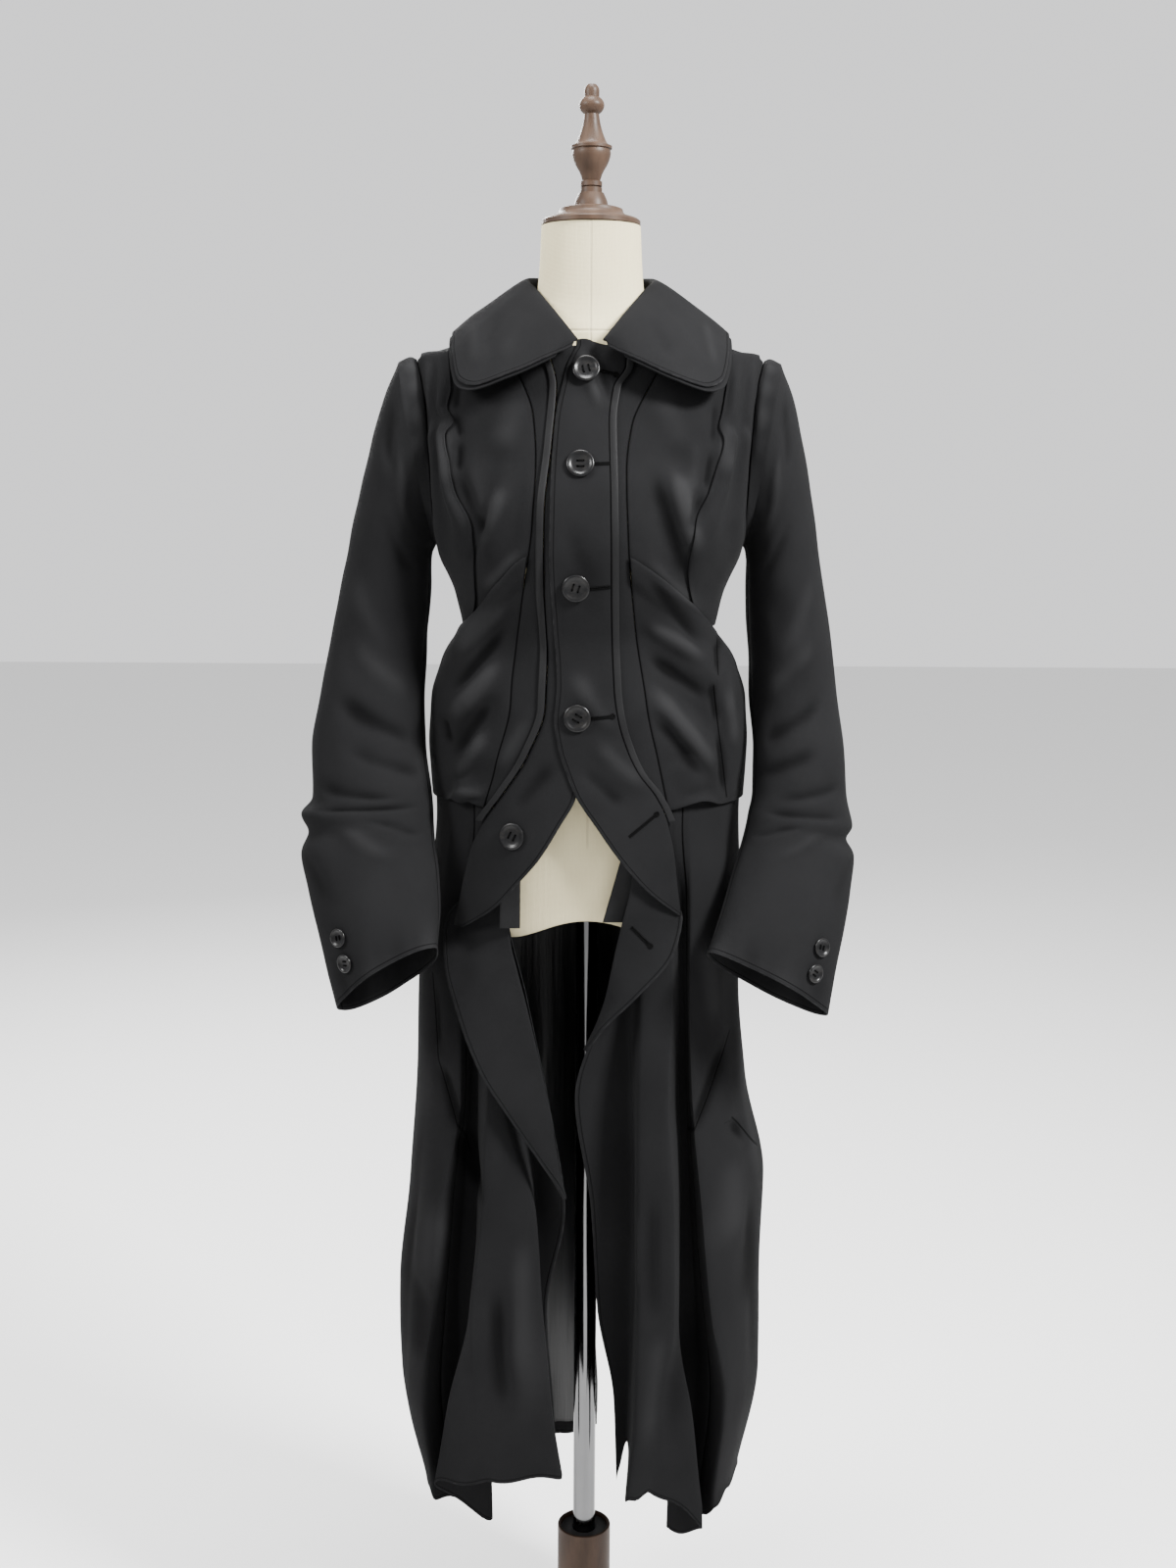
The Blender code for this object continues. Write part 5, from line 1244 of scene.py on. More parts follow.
skirt = {
    "heights": (945, 850, 740, 620, 500, 400, 290),
    "lines": {              # fold lines: name, angle at the pocket line, x and y at those heights, softness
        "l": [
            ("free", 17, (48, 22, -12, 5, 13, 31, 36), (-112, -112, -108, -100, -96, -94, -94), 1.0),
            ("valley", 21, (54, 42, 46, 50, 50, 48, 44), (-104, -98, -92, -90, -90, -90, -92), 0.7),
            ("pleat_in", 24, (60, 56, 53, 54, 55, 54, 44), (-110, -118, -130, -132, -133, -134, -132), 0.5),
            ("pleat_out", 30, (84, 86, 83, 90, 92, 82, 67), (-108, -116, -128, -130, -131, -131, -126), 0.5),
            ("kick", 32, (89, 92, 92, 97, 99, 114, 126), (-102, -102, -98, -98, -112, -124, -120), 0.5),
            ("under", 33, (93, 96, 97, 101, 99, 95, 92), (-96, -90, -82, -76, -76, -74, -72), 0.5),
            ("recess", 34, (97, 101, 106, 112, 118, 120, 112), (-96, -90, -80, -72, -68, -66, -60), 0.6),
            ("turn", 41, (106, 106, 110, 122, 134, 150, 140), (-104, -106, -110, -110, -108, -102, -96), 0.5),
            ("bulge", 60, (146, 142, 152, 170, 174, 176, 158), (-72, -74, -74, -70, -70, -68, -72), 1.0),
            ("side", 90, (162, 163, 172, 195, 193, 194, 172), (0, 0, 0, 0, 0, 0, 0), 1.0),
            ("side_back", 128, (126, 128, 134, 152, 152, 152, 138), (86, 86, 90, 100, 104, 104, 98), 1.0),
            ("back_ridge", 146, (84, 84, 90, 98, 98, 96, 92), (113, 118, 126, 138, 144, 147, 144), 0.8),
            ("back_valley", 162, (42, 43, 46, 50, 54, 60, 64), (117, 118, 118, 120, 122, 124, 122), 0.8),
            ("centre", 180, (1, 1, 1, 1, 8, 30, 40), (123, 128, 136, 145, 150, 152, 150), 1.0),
        ],
        "r": [
            ("free", 30, (82, 62, 39, 22, 40, 34, 27), (-98, -112, -118, -112, -95, -94, -97), 1.0),
            ("valley", 32, (88, 72, 60, 54, 57, 47, 35), (-94, -96, -92, -90, -92, -96, -102), 0.7),
            ("pleat_in", 34, (94, 92, 86, 53, 45, 35, 19), (-91, -102, -120, -130, -132, -132, -129), 0.4),
            ("pleat_out", 37, (102, 100, 102, 108, 118, 110, 98),
             (-89, -102, -122, -130, -131, -130, -126), 0.5),
            ("kick", 39, (107, 110, 112, 114, 121, 146, 164), (-87, -92, -96, -98, -116, -118, -108), 0.5),
            ("under", 41, (111, 113, 115, 117, 116, 106, 102), (-85, -85, -80, -76, -78, -74, -74), 0.5),
            ("recess", 44, (117, 118, 120, 130, 136, 136, 128), (-77, -80, -78, -72, -68, -60, -52), 0.6),
            ("turn", 50, (130, 133, 131, 151, 162, 174, 165), (-66, -82, -102, -106, -102, -92, -84), 0.5),
            ("bulge", 64, (152, 162, 164, 178, 188, 192, 174), (-47, -56, -66, -70, -70, -62, -56), 1.0),
            ("side", 90, (168, 180, 184, 192, 205, 203, 176), (0, 0, 0, 0, 0, 0, 0), 1.0),
            ("side_back", 128, (130, 134, 138, 148, 156, 156, 140), (86, 86, 90, 100, 104, 104, 98), 1.0),
            ("back_ridge", 146, (86, 86, 92, 98, 100, 98, 92), (113, 118, 126, 138, 144, 147, 144), 0.8),
            ("back_valley", 162, (44, 46, 48, 52, 52, 46, 42), (117, 118, 118, 120, 122, 125, 124), 0.8),
            ("centre", 180, (1, 1, 1, 1, -2, -9, -15), (123, 128, 136, 145, 150, 152, 150), 1.0),
        ],
    },
    "hem": {                # z of the hem at each fold line
        "l": (300, 346, 300, 308, 264, 232, 246, 268, 284, 282, 250, 238, 236, 240),
        "r": (340, 334, 328, 318, 308, 244, 256, 276, 290, 286, 250, 238, 232, 233),
    },
    "pieces": {"skirt_front": (0.0, 6.5), "skirt_side": (6.5, 10.0), "skirt_back": (10.0, 13.0)},
    "freeTop": {"l": 988.0, "r": 952.0},
    "lap": 12.0,
    "inset": 4.4,
    "step": 5.2,
    "ripple": 1.7,          # height of its waves near the hem
    "hemWave": 2.2,
    "liningLift": -1.85,
    "liningWall": 0.8,
    "seams": {
        "l": [(-1, 151, 803, 126, 739), (-1, 126, 739, 106, 693), (-1, 153, 710, 187, 661)],
        "r": [(-1, -162, 861, -155, 772), (-1, -155, 772, -132, 702), (-1, -132, 702, -122, 664)],
    },
    "sideCreases": [        # rows of y and z
        (-34, 930, -54, 560, 15, 1.5),
        (22, 840, 36, 420, 17, 1.3),
        (-66, 700, -44, 380, 13, -1.3),
        (4, 980, 10, 720, 13, -1.2),
        (54, 640, 62, 340, 14, 1.4),
    ],
    "creases": [
        (151, 806, 105, 690, 8, -2.4),
        (150, 712, 187, 659, 6, -2.8),
        (146, 690, 160, 560, 20, 1.3),
        (172, 880, 160, 760, 12, -2.0),
        (186, 640, 176, 480, 14, -1.4),
        (120, 930, 132, 800, 10, 2.2),
        (-162, 866, -155, 770, 6, -2.2),
        (-155, 776, -132, 700, 7, -2.8),
        (-132, 706, -112, 622, 9, -2.8),
        (-172, 800, -182, 690, 12, 1.5),
        (-176, 560, -186, 420, 14, -1.4),
        (-150, 640, -168, 500, 14, 1.3),
        (-64, 620, -74, 420, 14, 1.8),
        (-92, 560, -84, 380, 12, -1.8),
        (70, 680, 74, 470, 12, -1.6),
        (84, 520, 62, 340, 12, 1.8),
    ],
}


class SkirtHalf:            # a surface through the fold lines of one side
    def __init__(self, lines, hems, side):
        self.soft = np.array([line[4] for line in lines])
        self.hem = Curve(range(len(lines)), hems)
        self.lines = []
        heights = [pocketLineZ + skirt["lap"], pocketLineZ - 15.0]
        for name, start, xs, ys, soft in lines:
            starts = hips.point(side * float(start), np.array(heights))
            if name == "centre":
                starts[:, 0] = side * xs[0]
            starts = starts - direction(starts * np.array([1.0, 1.0, 0.0])) * skirt["inset"]
            knots = heights + list(skirt["heights"])
            self.lines.append((Curve(knots, list(starts[:, 0]) + [side * x for x in xs]),
                               Curve(knots, list(starts[:, 1]) + list(ys))))

    def across(self, position, z):  # position is counted in fold lines
        position, z = np.broadcast_arrays(position, z)
        spots = np.array([[x(z), y(z)] for x, y in self.lines])
        last = len(self.lines) - 1
        i = np.clip(position.astype(int), 0, last - 1)

        def line(k):
            return np.moveaxis(np.take_along_axis(spots, np.clip(k, 0, last)[None, None], 0)[0], 0, -1)

        def size(way):
            return np.linalg.norm(way, axis=-1, keepdims=True)

        here, there = line(i), line(i + 1)
        tangents = []
        for k, point in ((i, here), (i + 1, there)):
            before, after = line(k - 1), line(k + 1)
            whole = size(point - before) + size(after - point)
            soft = self.soft[np.clip(k, 0, last)][..., None]
            smooth = (after - before) * (soft * size(there - here) / np.maximum(whole, 0.001))
            ends = ((k == 0) | (k == last))[..., None]
            tangents.append(np.where(ends, there - here, smooth))
        flat = hermite(here, there, tangents[0], tangents[1], (position - i)[..., None])
        return points(flat[..., 0], flat[..., 1], z)


def skirtMove(grid, s, t):
    down = ease((pocketLineZ - grid[..., 2]) / 650)
    slow = uneven(grid * np.array([1.0, 1.0, 0.35]), 95, 3)
    x, y, z = np.moveaxis(grid, -1, 0)
    own = ridges(x, z, skirt["creases"]) * (ease((-y - 45) / 30) + 0.7 * ease((y - 55) / 30))
    own = own + ridges(y, z, skirt["sideCreases"]) * ease((np.abs(x) - 125) / 25)
    return (creased(grid) * (1 - down) + cloth["folds"] * own
            + (0.35 + skirt["ripple"] * down) * slow * ease((1057 - z) / 40))


for mark, side in sides.items():
    half = SkirtHalf(skirt["lines"][mark], skirt["hem"][mark], side)
    for name, (first, last) in skirt["pieces"].items():
        top = level(pocketLineZ + skirt["lap"])
        if name == "skirt_front":
            def top(s):     # low at its free edge, then up under the placket to the pocket line
                return mix(skirt["freeTop"][mark], pocketLineZ + skirt["lap"], ease((s - 0.15) / 0.5))
        stops = sorted({first, last, *range(math.ceil(first), math.floor(last) + 1)})
        columns = [0.0]
        for a, b in zip(stops, stops[1:]):
            spots = half.across(np.array([[a, b]]), np.linspace(1000, 300, 8)[:, None])
            widest = float(np.linalg.norm(spots[:, 1] - spots[:, 0], axis=-1).max())
            count = max(2, round(widest / skirt["step"]))
            columns += [(mix(a, b, (i + 1) / count) - first) / (last - first) for i in range(count)]
        columns[-1] = 1.0

        def place(s, t):
            position = mix(first, last, s)
            hemZ = half.hem(position) + skirt["hemWave"] * np.sin(position * 9.0 + side)
            return half.across(position, mix(top(s), hemZ, t))

        sew(name + "_" + mark, place, move=skirtMove, columns=columns, step=skirt["step"],
            hem="lb" if name == "skirt_front" else "b", free="t",
            lines=skirt["seams"][mark])

    sew("lining_" + mark, lambda s, t: place(s, mix(0.03, 0.98, t)), lift=skirt["liningLift"], move=skirtMove,
        columns=columns, step=skirt["step"], look="lining", free="lrtb", thickness=skirt["liningWall"])

turnback = {
    "rows": {               # z, fold x y, edge x y
        "l": [
            (986, 46, -128, 58, -126),
            (960, 42, -126, 84, -115),
            (935, 36, -124, 97, -114),
            (903, 29, -120, 90, -124),
            (857, 20, -118, 52, -134),
            (822, 9, -117, 18, -132),
            (796, -3, -118, 1, -124),
        ],
        "r": [
            (950, -84, -103, -126, -82),
            (925, -81, -103, -146, -66),
            (905, -78, -108, -150, -70),
            (880, -71, -120, -148, -90),
            (840, -60, -128, -136, -112),
            (780, -46, -131, -112, -130),
            (730, -36, -134, -80, -138),
            (690, -30, -133, -53, -139),
            (660, -25, -129, -34, -136),
            (638, -20, -124, -23, -128),
        ],
    },
    "bulge": 2.5,
}
tab = {
    "width": 21.0,
    "ends": {"l": ((47, -122, 1008), (26, -112, 929)), "r": ((-78, -109.8, 1002), (-79, -111, 922))},
}

for mark, side in sides.items():
    rows = turnback["rows"][mark]
    at = curvesOf("z foldX foldY edgeX edgeY", rows)

    def place(s, t):
        z = mix(rows[0][0], rows[-1][0], t) + 0 * s
        y = mix(at["foldY"](z), at["edgeY"](z), s) - turnback["bulge"] * np.sin(math.pi * s)
        return points(mix(at["foldX"](z), at["edgeX"](z), s), y, z)

    sew("turnback_" + mark, place, move=lambda grid, s, t: 0.7 * uneven(grid, 60, 5), step=3.6,
        hem="r", free="ltb")

    high, low = [np.array(end, dtype=float) for end in tab["ends"][mark]]

    def place(s, t):
        spot = mix(high, low, (t + 0 * s)[..., None])
        return spot + (tab["width"] * (s - 0.5) + 0 * t)[..., None] * np.array([1.0, 0, 0])

    sew("tab_" + mark, place, move=lambda grid, s, t: 0.8 * np.sin(t * 9 + s * 2) * (s - 0.5),
        step=3.0, look="satin", free="lrtb")
print("skirt sewn")


# turned pieces

def rounded(profile, steps):        # adds points so that gentle corners of a profile turn smoothly
    line = np.array(profile, dtype=float)
    way = direction(np.diff(line, axis=0))
    turned = np.degrees(np.arccos(np.clip((way[:-1] * way[1:]).sum(-1), -1, 1)))
    spots = []
    for i, (a, b) in enumerate(zip(line, line[1:])):
        length = np.linalg.norm(b - a)
        startWay = direction(way[i - 1] + way[i]) if i and turned[i - 1] < 42 else way[i]
        endWay = direction(way[i] + way[i + 1]) if i < len(turned) and turned[i] < 42 else way[i]
        for k in range(steps):
            spots.append(hermite(a, b, startWay * length, endWay * length, k / steps))
    return spots + [line[-1]]


def ringFaces(low, high, count):        # a band of faces between two rings of points
    return [[low + k, low + (k + 1) % count, high + (k + 1) % count, high + k] for k in range(count)]


def lathe(name, profile, look, nodes, segments=72, bore=False, steps=3, sharp=35.0):
    # turned about Z from (z, radius) rows; with a bore the rows go all the way round
    rows = rounded(profile + profile[:1] if bore else profile, steps)
    if bore:
        rows = rows[:-1]
    turns = [math.tau * k / segments for k in range(segments)]
    places = [(radius * math.cos(turn), radius * math.sin(turn), z) for z, radius in rows for turn in turns]
    count = len(rows)
    faces = []
    for i in range(count if bore else count - 1):
        low, high = i * segments, (i + 1) % count * segments
        faces += ringFaces(low, high, segments)
    if not bore:
        faces += [list(range(segments))[::-1], [(count - 1) * segments + k for k in range(segments)]]
    return put(name, meshOf(name, places, faces), look, nodes, sharp)


stand = {
    "pole": 12.5, "poleTop": 968.0, "bore": 12.8, "disc": 170.0, "discHeight": 25.0, "discRound": 3.0,
    "post": 30.0, "postTop": 195.0, "postLip": 3.0, "recess": 12.0, "ring": 7.5, "ringRound": 1.5,
}
neckTopZ = 1628.0
capRows = [                 # height above the neck, radius
    (0.0, 49.0),
    (0.8, 50.3),
    (4.6, 50.3),
    (6.6, 48.0),
    (9.0, 40.0),
    (12.5, 33.5),
    (16.5, 32.0),
    (18.0, 28.0),
    (19.4, 17.5),
    (25.0, 16.2),
    (32.5, 12.8),
]
finialRows = [
    (32.8, 11.0),
    (37.6, 11.0),
    (38.2, 9.4),
    (39.0, 11.0),
    (43.4, 11.0),
    (44.4, 9.0),
    (52.0, 11.6),
    (62.0, 17.2),
    (71.0, 19.6),
    (74.5, 19.0),
    (75.4, 20.8),
    (78.0, 20.8),
    (80.0, 16.8),
    (86.0, 13.4),
    (98.0, 9.4),
    (109.0, 7.4),
    (112.0, 10.8),
    (117.5, 12.8),
    (122.5, 11.0),
    (125.5, 7.6),
    (134.0, 7.2),
    (137.4, 4.6),
]


def makeStand():
    r, h = stand["disc"], stand["discHeight"]
    soft = stand["discRound"]
    rim = [(h - soft + soft * math.sin(turn), r - soft + soft * math.cos(turn))
           for turn in (0, math.pi / 8, math.pi / 4, math.pi * 3 / 8, math.pi / 2)]
    lathe("base_disc_wood", [(0.0, r - 1.0), (1.0, r)] + rim, "walnut", ["base_disc"], segments=128, steps=1)
    foot = h + cloth["seam"]
    r, top, inner, bore = stand["post"], stand["postTop"], stand["post"] - stand["postLip"], stand["bore"]
    post = [(foot, r), (top - 1.4, r), (top - 0.4, r - 0.4), (top, r - 1.4), (top, inner + 0.6),
            (top - 0.6, inner),
            (top - stand["recess"], inner), (top - stand["recess"], bore), (foot, bore)]
    lathe("base_post_wood", post, "walnut", ["base_post"], segments=80, bore=True, steps=1)
    low = top - stand["recess"] + cloth["seam"]
    high, soft, outer = low + stand["ring"], stand["ringRound"], inner - cloth["seam"]
    ring = [(low, outer), (high - soft, outer), (high - soft * 0.3, outer - soft * 0.3), (high, outer - soft),
            (high, bore + soft), (high - soft * 0.3, bore + soft * 0.3), (high - soft, bore), (low, bore)]
    lathe("post_collar_rubber", ring, "rubber", ["post_collar"], segments=80, bore=True, steps=1)
    lathe("pole_tube", [(foot, stand["pole"]), (stand["poleTop"], stand["pole"])], "chrome", ["pole"],
          steps=12)
    base = neckTopZ + cloth["seam"]
    lathe("neck_cap_wood", [(base + z, radius) for z, radius in capRows], "walnut", ["neck_cap"])
    lathe("finial_wood", [(base + z, radius) for z, radius in finialRows], "walnut", ["finial"], steps=4)


formShape = {
    "segments": 120, "step": 6.0, "bottom": 906.0, "archRise": 21.0, "archAngle": 34.6,
    "rimShare": 0.89, "rimRise": 4.0,
    "boss": 27.2, "bore": 13.2, "mouth": 932.0, "boreTop": 972.0,
}


def makeForm():
    look = formShape
    angle = np.arange(look["segments"]) * 360.0 / look["segments"] - 180.0
    heights = np.linspace(neckTopZ, look["bottom"],
                          round((neckTopZ - look["bottom"]) / look["step"]))[:, None]
    loops = form.point(angle[None, :], heights)
    front = np.where(np.abs(angle) <= 90, np.abs(angle), 180 - np.abs(angle))
    arch = look["archRise"] * np.cos(np.minimum(1.0, front / look["archAngle"]) * math.pi / 2) ** 2
    share = ease((look["bottom"] + 60 - heights) / 60)
    loops[..., 2] = loops[..., 2] + arch[None, :] * share
    lowest = loops[-1]
    loops = list(loops)
    for k in (0.25, 0.5, 0.75):     # the cloth turns in under the lower edge
        turn = k * math.pi / 2
        shrink = mix(1.0, look["rimShare"], (1 - math.cos(turn)) * 0.4)
        loops.append(lowest * np.array([shrink, shrink, 1]) - np.array([0, 0, 1.2 * math.sin(turn)]))
    inset = lowest * np.array([look["rimShare"], look["rimShare"], 1]) + np.array([0, 0, look["rimRise"]])
    loops.append(inset)
    around = np.arctan2(inset[:, 1], inset[:, 0])
    for radius, z in ((look["boss"], look["mouth"]), (look["bore"], look["mouth"]),
                      (look["bore"], look["boreTop"])):
        loops.append(points(radius * np.cos(around), radius * np.sin(around), z))
    count, segments = len(loops), look["segments"]
    faces = [[i * segments + k, i * segments + (k + 1) % segments, (i + 1) * segments + (k + 1) % segments,
              (i + 1) * segments + k] for i in range(count - 1) for k in range(segments)]
    faces += [list(range(segments)), [(count - 1) * segments + k for k in range(segments)][::-1]]
    put("form_torso_linen", meshOf("form_torso_linen", np.array(loops), faces), "linen", ["form_torso"])


makeStand()
makeForm()
print("form and stand made")


# buttons and buttonholes

button = {
    "thickness": 3.4,
    "profile": [            # share of the thickness, share of the radius
        (0.0, 0.0), (0.0, 0.52), (0.10, 0.66), (0.34, 0.86), (0.54, 0.96), (0.66, 1.0), (0.80, 0.995),
        (0.93, 0.96),
        (1.0, 0.90), (0.98, 0.84), (0.86, 0.77), (0.70, 0.70), (0.58, 0.60), (0.53, 0.40), (0.52, 0.0),
    ],
    "segments": 56,
    "holeAt": 0.22,
    "hole": 0.085,
    "thread": 0.62,         # radius of the thread, in mm
    "gap": 0.15,
    "front": {"button_1": "placket_l", "button_2": "placket_l", "button_3": "placket_l",
              "button_4": "placket_l",
              "button_5": "placket_r"},
    "cuff": {"cuff_button_l1": "sleeve_top_l", "cuff_button_l2": "sleeve_top_l",
             "cuff_button_r1": "sleeve_top_r", "cuff_button_r2": "sleeve_top_r"},
}


def tube(paths, radius, sides=7, closed=False):     # round strands along lines of points, as one mesh
    places, faces = [], []
    for path in paths:
        path = np.asarray(path, dtype=float)
        count = len(path)
        way = direction(np.roll(path, -1, 0) - np.roll(path, 1, 0))
        if not closed:
            way[0], way[-1] = direction(path[1] - path[0]), direction(path[-1] - path[-2])
        across = direction(np.cross(way, np.array([0.21, -0.93, 0.3])))
        up = np.cross(across, way)
        first = len(places)
        for p, a, b in zip(path, across, up):
            for k in range(sides):
                turn = math.tau * k / sides
                places.append(p + (a * math.cos(turn) + b * math.sin(turn)) * radius)
        for i in range(count if closed else count - 1):
            low, high = first + i * sides, first + (i + 1) % count * sides
            faces += ringFaces(low, high, sides)
        if not closed:
            faces += [[first + k for k in range(sides)][::-1],
                      [first + (count - 1) * sides + k for k in range(sides)]]
    return places, faces


def pierced(radius):        # one button lying on z = 0, with its four holes cut through
    rows = [(z * button["thickness"], max(r, 0.0) * radius) for z, r in button["profile"]]
    segments = button["segments"]
    places = [(0, 0, rows[0][0])]
    for z, r in rows[1:-1]:
        places += [(r * math.cos(math.tau * k / segments), r * math.sin(math.tau * k / segments), z)
                   for k in range(segments)]
    places.append((0, 0, rows[-1][0]))
    last = len(places) - 1
    faces = [[0, 1 + (k + 1) % segments, 1 + k] for k in range(segments)]
    for i in range(len(rows) - 3):
        low, high = 1 + i * segments, 1 + (i + 1) * segments
        faces += ringFaces(low, high, segments)
    top = 1 + (len(rows) - 3) * segments
    faces += [[top + k, top + (k + 1) % segments, last] for k in range(segments)]
    blank = bpy.data.objects.new("button blank", meshOf("button blank", places, faces))
    at, size = button["holeAt"] * radius, button["hole"] * radius
    drills = tube([[(x * at, y * at, -2), (x * at, y * at, 6)] for x in (-1, 1) for y in (-1, 1)],
                  size, sides=14)
    drill = bpy.data.objects.new("button drill", meshOf("button drill", *drills))
    for thing in (blank, drill):
        bpy.context.scene.collection.objects.link(thing)
    cut = blank.modifiers.new("holes", "BOOLEAN")
    cut.operation, cut.object, cut.solver = "DIFFERENCE", drill, "EXACT"
    mesh = bpy.data.meshes.new_from_object(blank.evaluated_get(bpy.context.evaluated_depsgraph_get()))
    for thing in (blank, drill):
        bpy.data.objects.remove(thing, do_unlink=True)
    return mesh


def treeOf(node):
    mesh = bpy.data.objects[node + "_cloth"].data
    return BVHTree.FromPolygons([v.co / mm for v in mesh.vertices], [p.vertices for p in mesh.polygons])


def seat(tree, point, way, radius):     # where a round piece lies on the cloth, and which way it faces
    across = way.orthogonal().normalized() * radius
    rays = [Vector()] + [Matrix.Rotation(math.tau * i / 10, 3, way) @ across for i in range(10)]
    hits = [tree.ray_cast(point + ray + way * 30, -way) for ray in rays]
    hits = [hit for hit in hits if hit[0] is not None]
    out = sum((hit[1] for hit in hits), Vector()).normalized()
    high = max(hit[0].dot(out) for hit in hits)
    middle = hits[0][0]
    return middle + out * (high - middle.dot(out) + button["gap"]), out


def nodeFrame(node):        # middle of a CAD button and the way it faces
    built = bpy.data.objects[node]
    spots = np.array([built.matrix_world @ v.co for v in built.data.vertices]) / mm
    middle = spots.mean(0)
    out = np.linalg.svd(spots - middle)[2][2]
    away = np.array([0.0, -1.0, 0.0]) if "cuff" not in node else np.array([middle[0], -60.0, 0.0])
    return Vector(middle), Vector(out if out @ away > 0 else -out)


def sewButtons():
    for carriers, radius in ((button["front"], 13.5), (button["cuff"], 9.5)):
        blank = pierced(radius)
        at, lie = button["holeAt"] * radius, button["thickness"] * button["profile"][-1][0]
        strands = []
        for x in (-1, 1):
            for side in (-0.5, 0.5):
                shift = side * button["thread"] * 1.5
                strands.append([(x * at + shift, y * at * 0.98,
                                 lie + (button["thread"] * 1.1 if abs(y) < 1 else -1.4))
                                for y in (-1, -0.93, -0.6, 0, 0.6, 0.93, 1)])
        threads = meshOf("button threads", *tube(strands, button["thread"] * 0.6, sides=6))
        for number, (node, carrier) in enumerate(carriers.items()):
            middle, out = nodeFrame(node)
            spot, out = seat(treeOf(carrier), middle, out, radius * 0.52)
            turn = Vector((0, 0, 1)).rotation_difference(out).to_matrix()
            turn = turn @ Matrix.Rotation(0.25 + number * 1.3, 3, "Z")
            place = Matrix.Translation(spot * mm) @ turn.to_4x4()
            for name, mesh, look, nodes in ((node + "_horn", blank, "horn", [node]),
                                            (node + "_thread", threads, "thread", [])):
                mesh = mesh.copy()
                mesh.transform(place)
                put(name, mesh, look, nodes, sharp=38.0)


buttonhole = {
    "slit": 1.0,            # half width of the slit
    "eye": 2.3,             # radius of its round end
    "thread": 0.75,
    "places": [             # carrier, then x and z of the two ends
        ("placket_l", 6, 1482, 25, 1476),
        ("placket_l", 4, 1389, 25, 1390),
        ("placket_l", -2, 1268, 26, 1271),
        ("placket_l", 1, 1140, 24, 1142),
        ("placket_l", 42, 1022, 69, 1043),
        ("turnback_l", 45, 927, 64, 908),
    ],
}


def sewButtonholes():
    for number, (carrier, x1, z1, x2, z2) in enumerate(buttonhole["places"], start=1):
        tree = treeOf(carrier)
        run = np.array([x2 - x1, z2 - z1], dtype=float)
        length = np.linalg.norm(run)
        along, across = run / length, np.array([-run[1], run[0]]) / length
        slit, eye = buttonhole["slit"], buttonhole["eye"]
        outline = [(k, slit) for k in np.linspace(0, length - eye * 1.6, 12)]
        outline += [(length - eye * math.cos(turn) * 1.0, eye * math.sin(turn))
                    for turn in np.linspace(0.55, math.tau - 0.55, 12)]
        outline += [(k, -slit) for k in np.linspace(length - eye * 1.6, 0, 12)]
        ring = []
        for u, v in outline:
            x, z = np.array([x1, z1]) + along * u + across * v
            hit, out, _, _ = tree.ray_cast(Vector((x, -400, z)), Vector((0, 1, 0)))
            if hit is None:
                hit, out, _, _ = tree.find_nearest(Vector((x, -120, z)))
            ring.append(np.array(hit + out * 0.12))
        places, faces = tube([ring], buttonhole["thread"], sides=7, closed=True)
        # a dark sheet in the thread finish fills the slit, as painted shade of the open cut
        inner = len(places)
        places += [spot + np.array([0, -0.25, 0]) for spot in ring]
        half = len(ring) // 2
        faces += [[inner + k, inner + k + 1, inner + len(ring) - 2 - k, inner + len(ring) - 1 - k]
                  for k in range(half - 1)]
        mesh = meshOf("buttonhole_%d" % number, places, faces)
        put("buttonhole_%d" % number, mesh, "thread")


sewButtons()
sewButtonholes()
print("buttons sewn")


# floor, light and camera

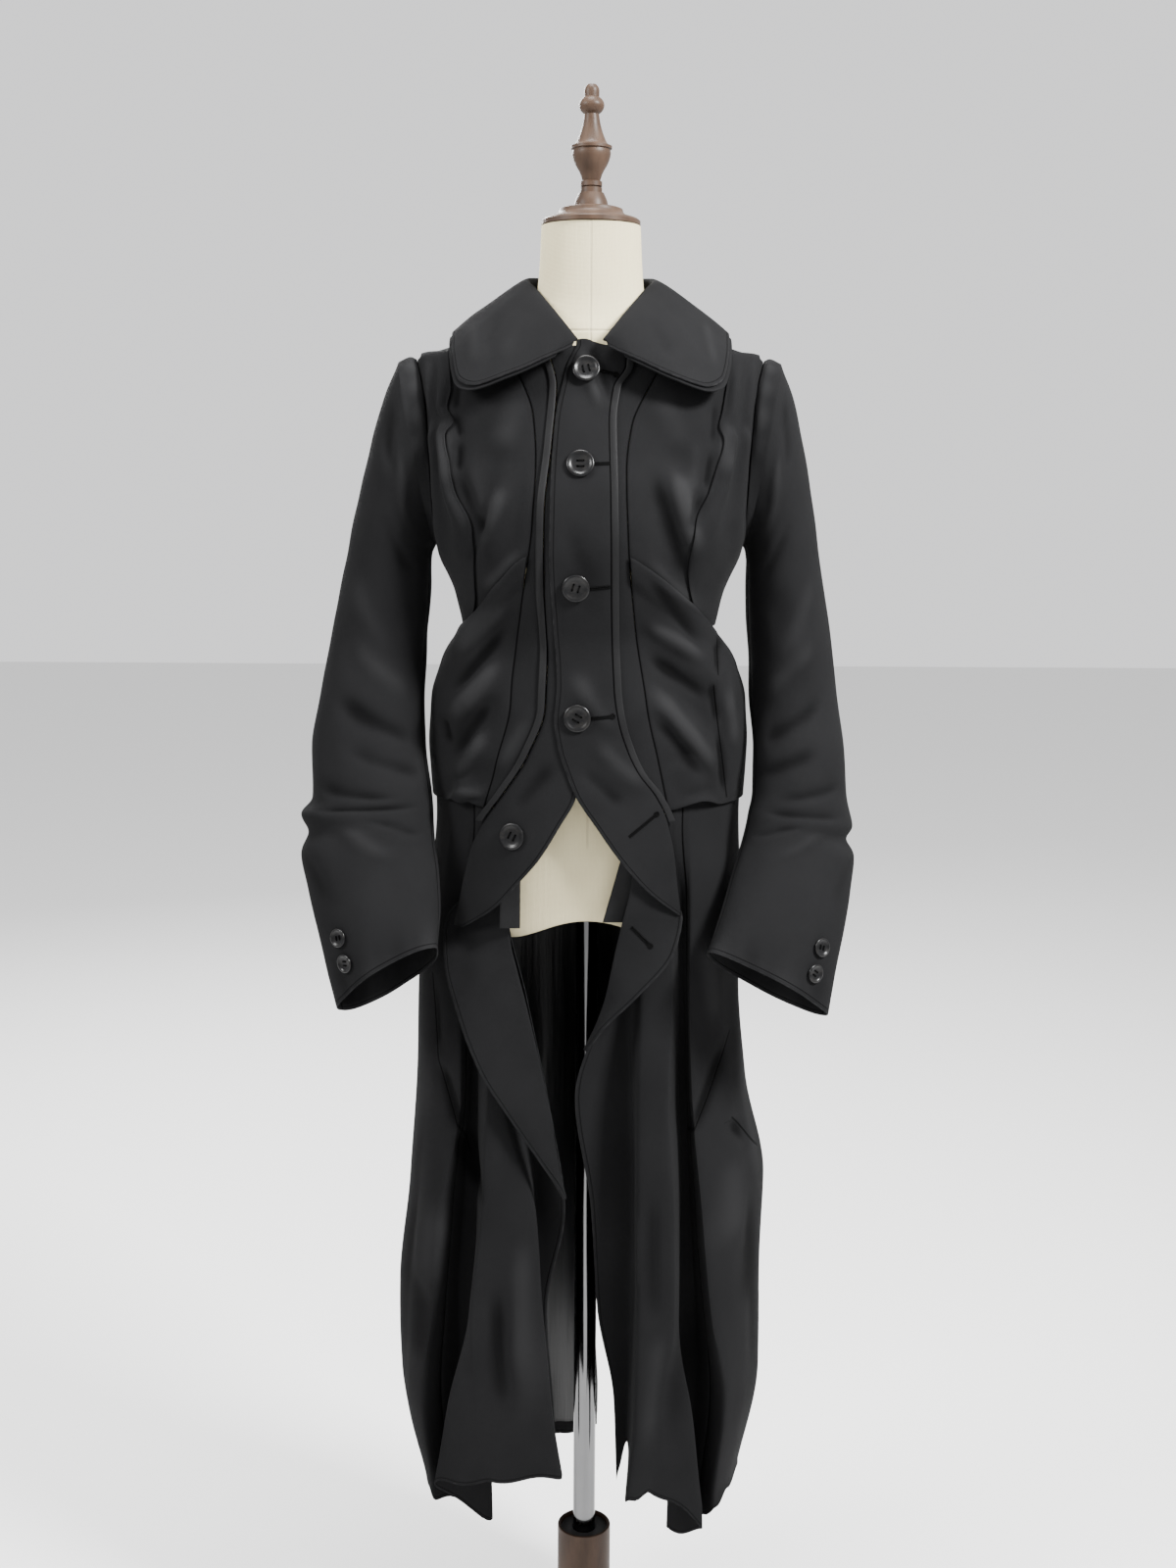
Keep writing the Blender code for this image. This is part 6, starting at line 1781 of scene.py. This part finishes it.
studio = {
    "floor": (0.72, 0.72, 0.715, 1.0),
    "world": (0.99, 0.99, 1.0, 1.0),
    "worldLight": 1.22,
    "lamps": [              # name, place, size, power
        ("key", (1.75, -1.3, 2.85), 0.6, 330.0),
        ("fill", (-1.9, -1.0, 2.4), 0.8, 90.0),
        ("top", (0.0, -0.2, 3.3), 0.8, 90.0),
        ("back", (-1.0, 2.6, 2.6), 1.2, 150.0),
    ],
    "aim": (0.0, 0.0, 1.05),
}
view = {"place": (0.0, -1.90, 1.368), "down": 9.4, "roll": 0.316, "lens": 36 * 1838 / 1600}


def makeStudio():
    mesh = bpy.data.meshes.new("studio_floor")
    mesh.from_pydata([(-12, -12, 0), (12, -12, 0), (12, 12, 0), (-12, 12, 0)], [], [(0, 1, 2, 3)])
    floor = bpy.data.objects.new("studio_floor", mesh)
    bpy.context.scene.collection.objects.link(floor)
    paint = Finish("studio floor", {"Base Color": studio["floor"], "Roughness": 0.7})
    mesh.materials.append(paint.material)
    floor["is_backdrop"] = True
    world = bpy.data.worlds.new("studio")
    world.use_nodes = True
    world.node_tree.nodes["Background"].inputs[0].default_value = studio["world"]
    world.node_tree.nodes["Background"].inputs[1].default_value = studio["worldLight"]
    bpy.context.scene.world = world
    for name, place, size, power in studio["lamps"]:
        light = bpy.data.lights.new(name, "AREA")
        light.size, light.energy = size, power
        lamp = bpy.data.objects.new(name, light)
        lamp.location = place
        lamp.rotation_euler = (Vector(studio["aim"]) - Vector(place)).to_track_quat("-Z", "Y").to_euler()
        bpy.context.scene.collection.objects.link(lamp)
    lens = bpy.data.cameras.new("camera")
    lens.sensor_width, lens.lens, lens.sensor_fit = 36, view["lens"], "AUTO"
    camera = bpy.data.objects.new("camera", lens)
    camera.location = view["place"]
    camera.rotation_euler = (math.radians(90 - view["down"]), 0, 0)
    camera.rotation_euler.rotate_axis("Z", math.radians(view["roll"]))
    bpy.context.scene.collection.objects.link(camera)
    bpy.context.scene.camera = camera


makeStudio()
print("studio set")

low, high = cadBox
low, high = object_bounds()
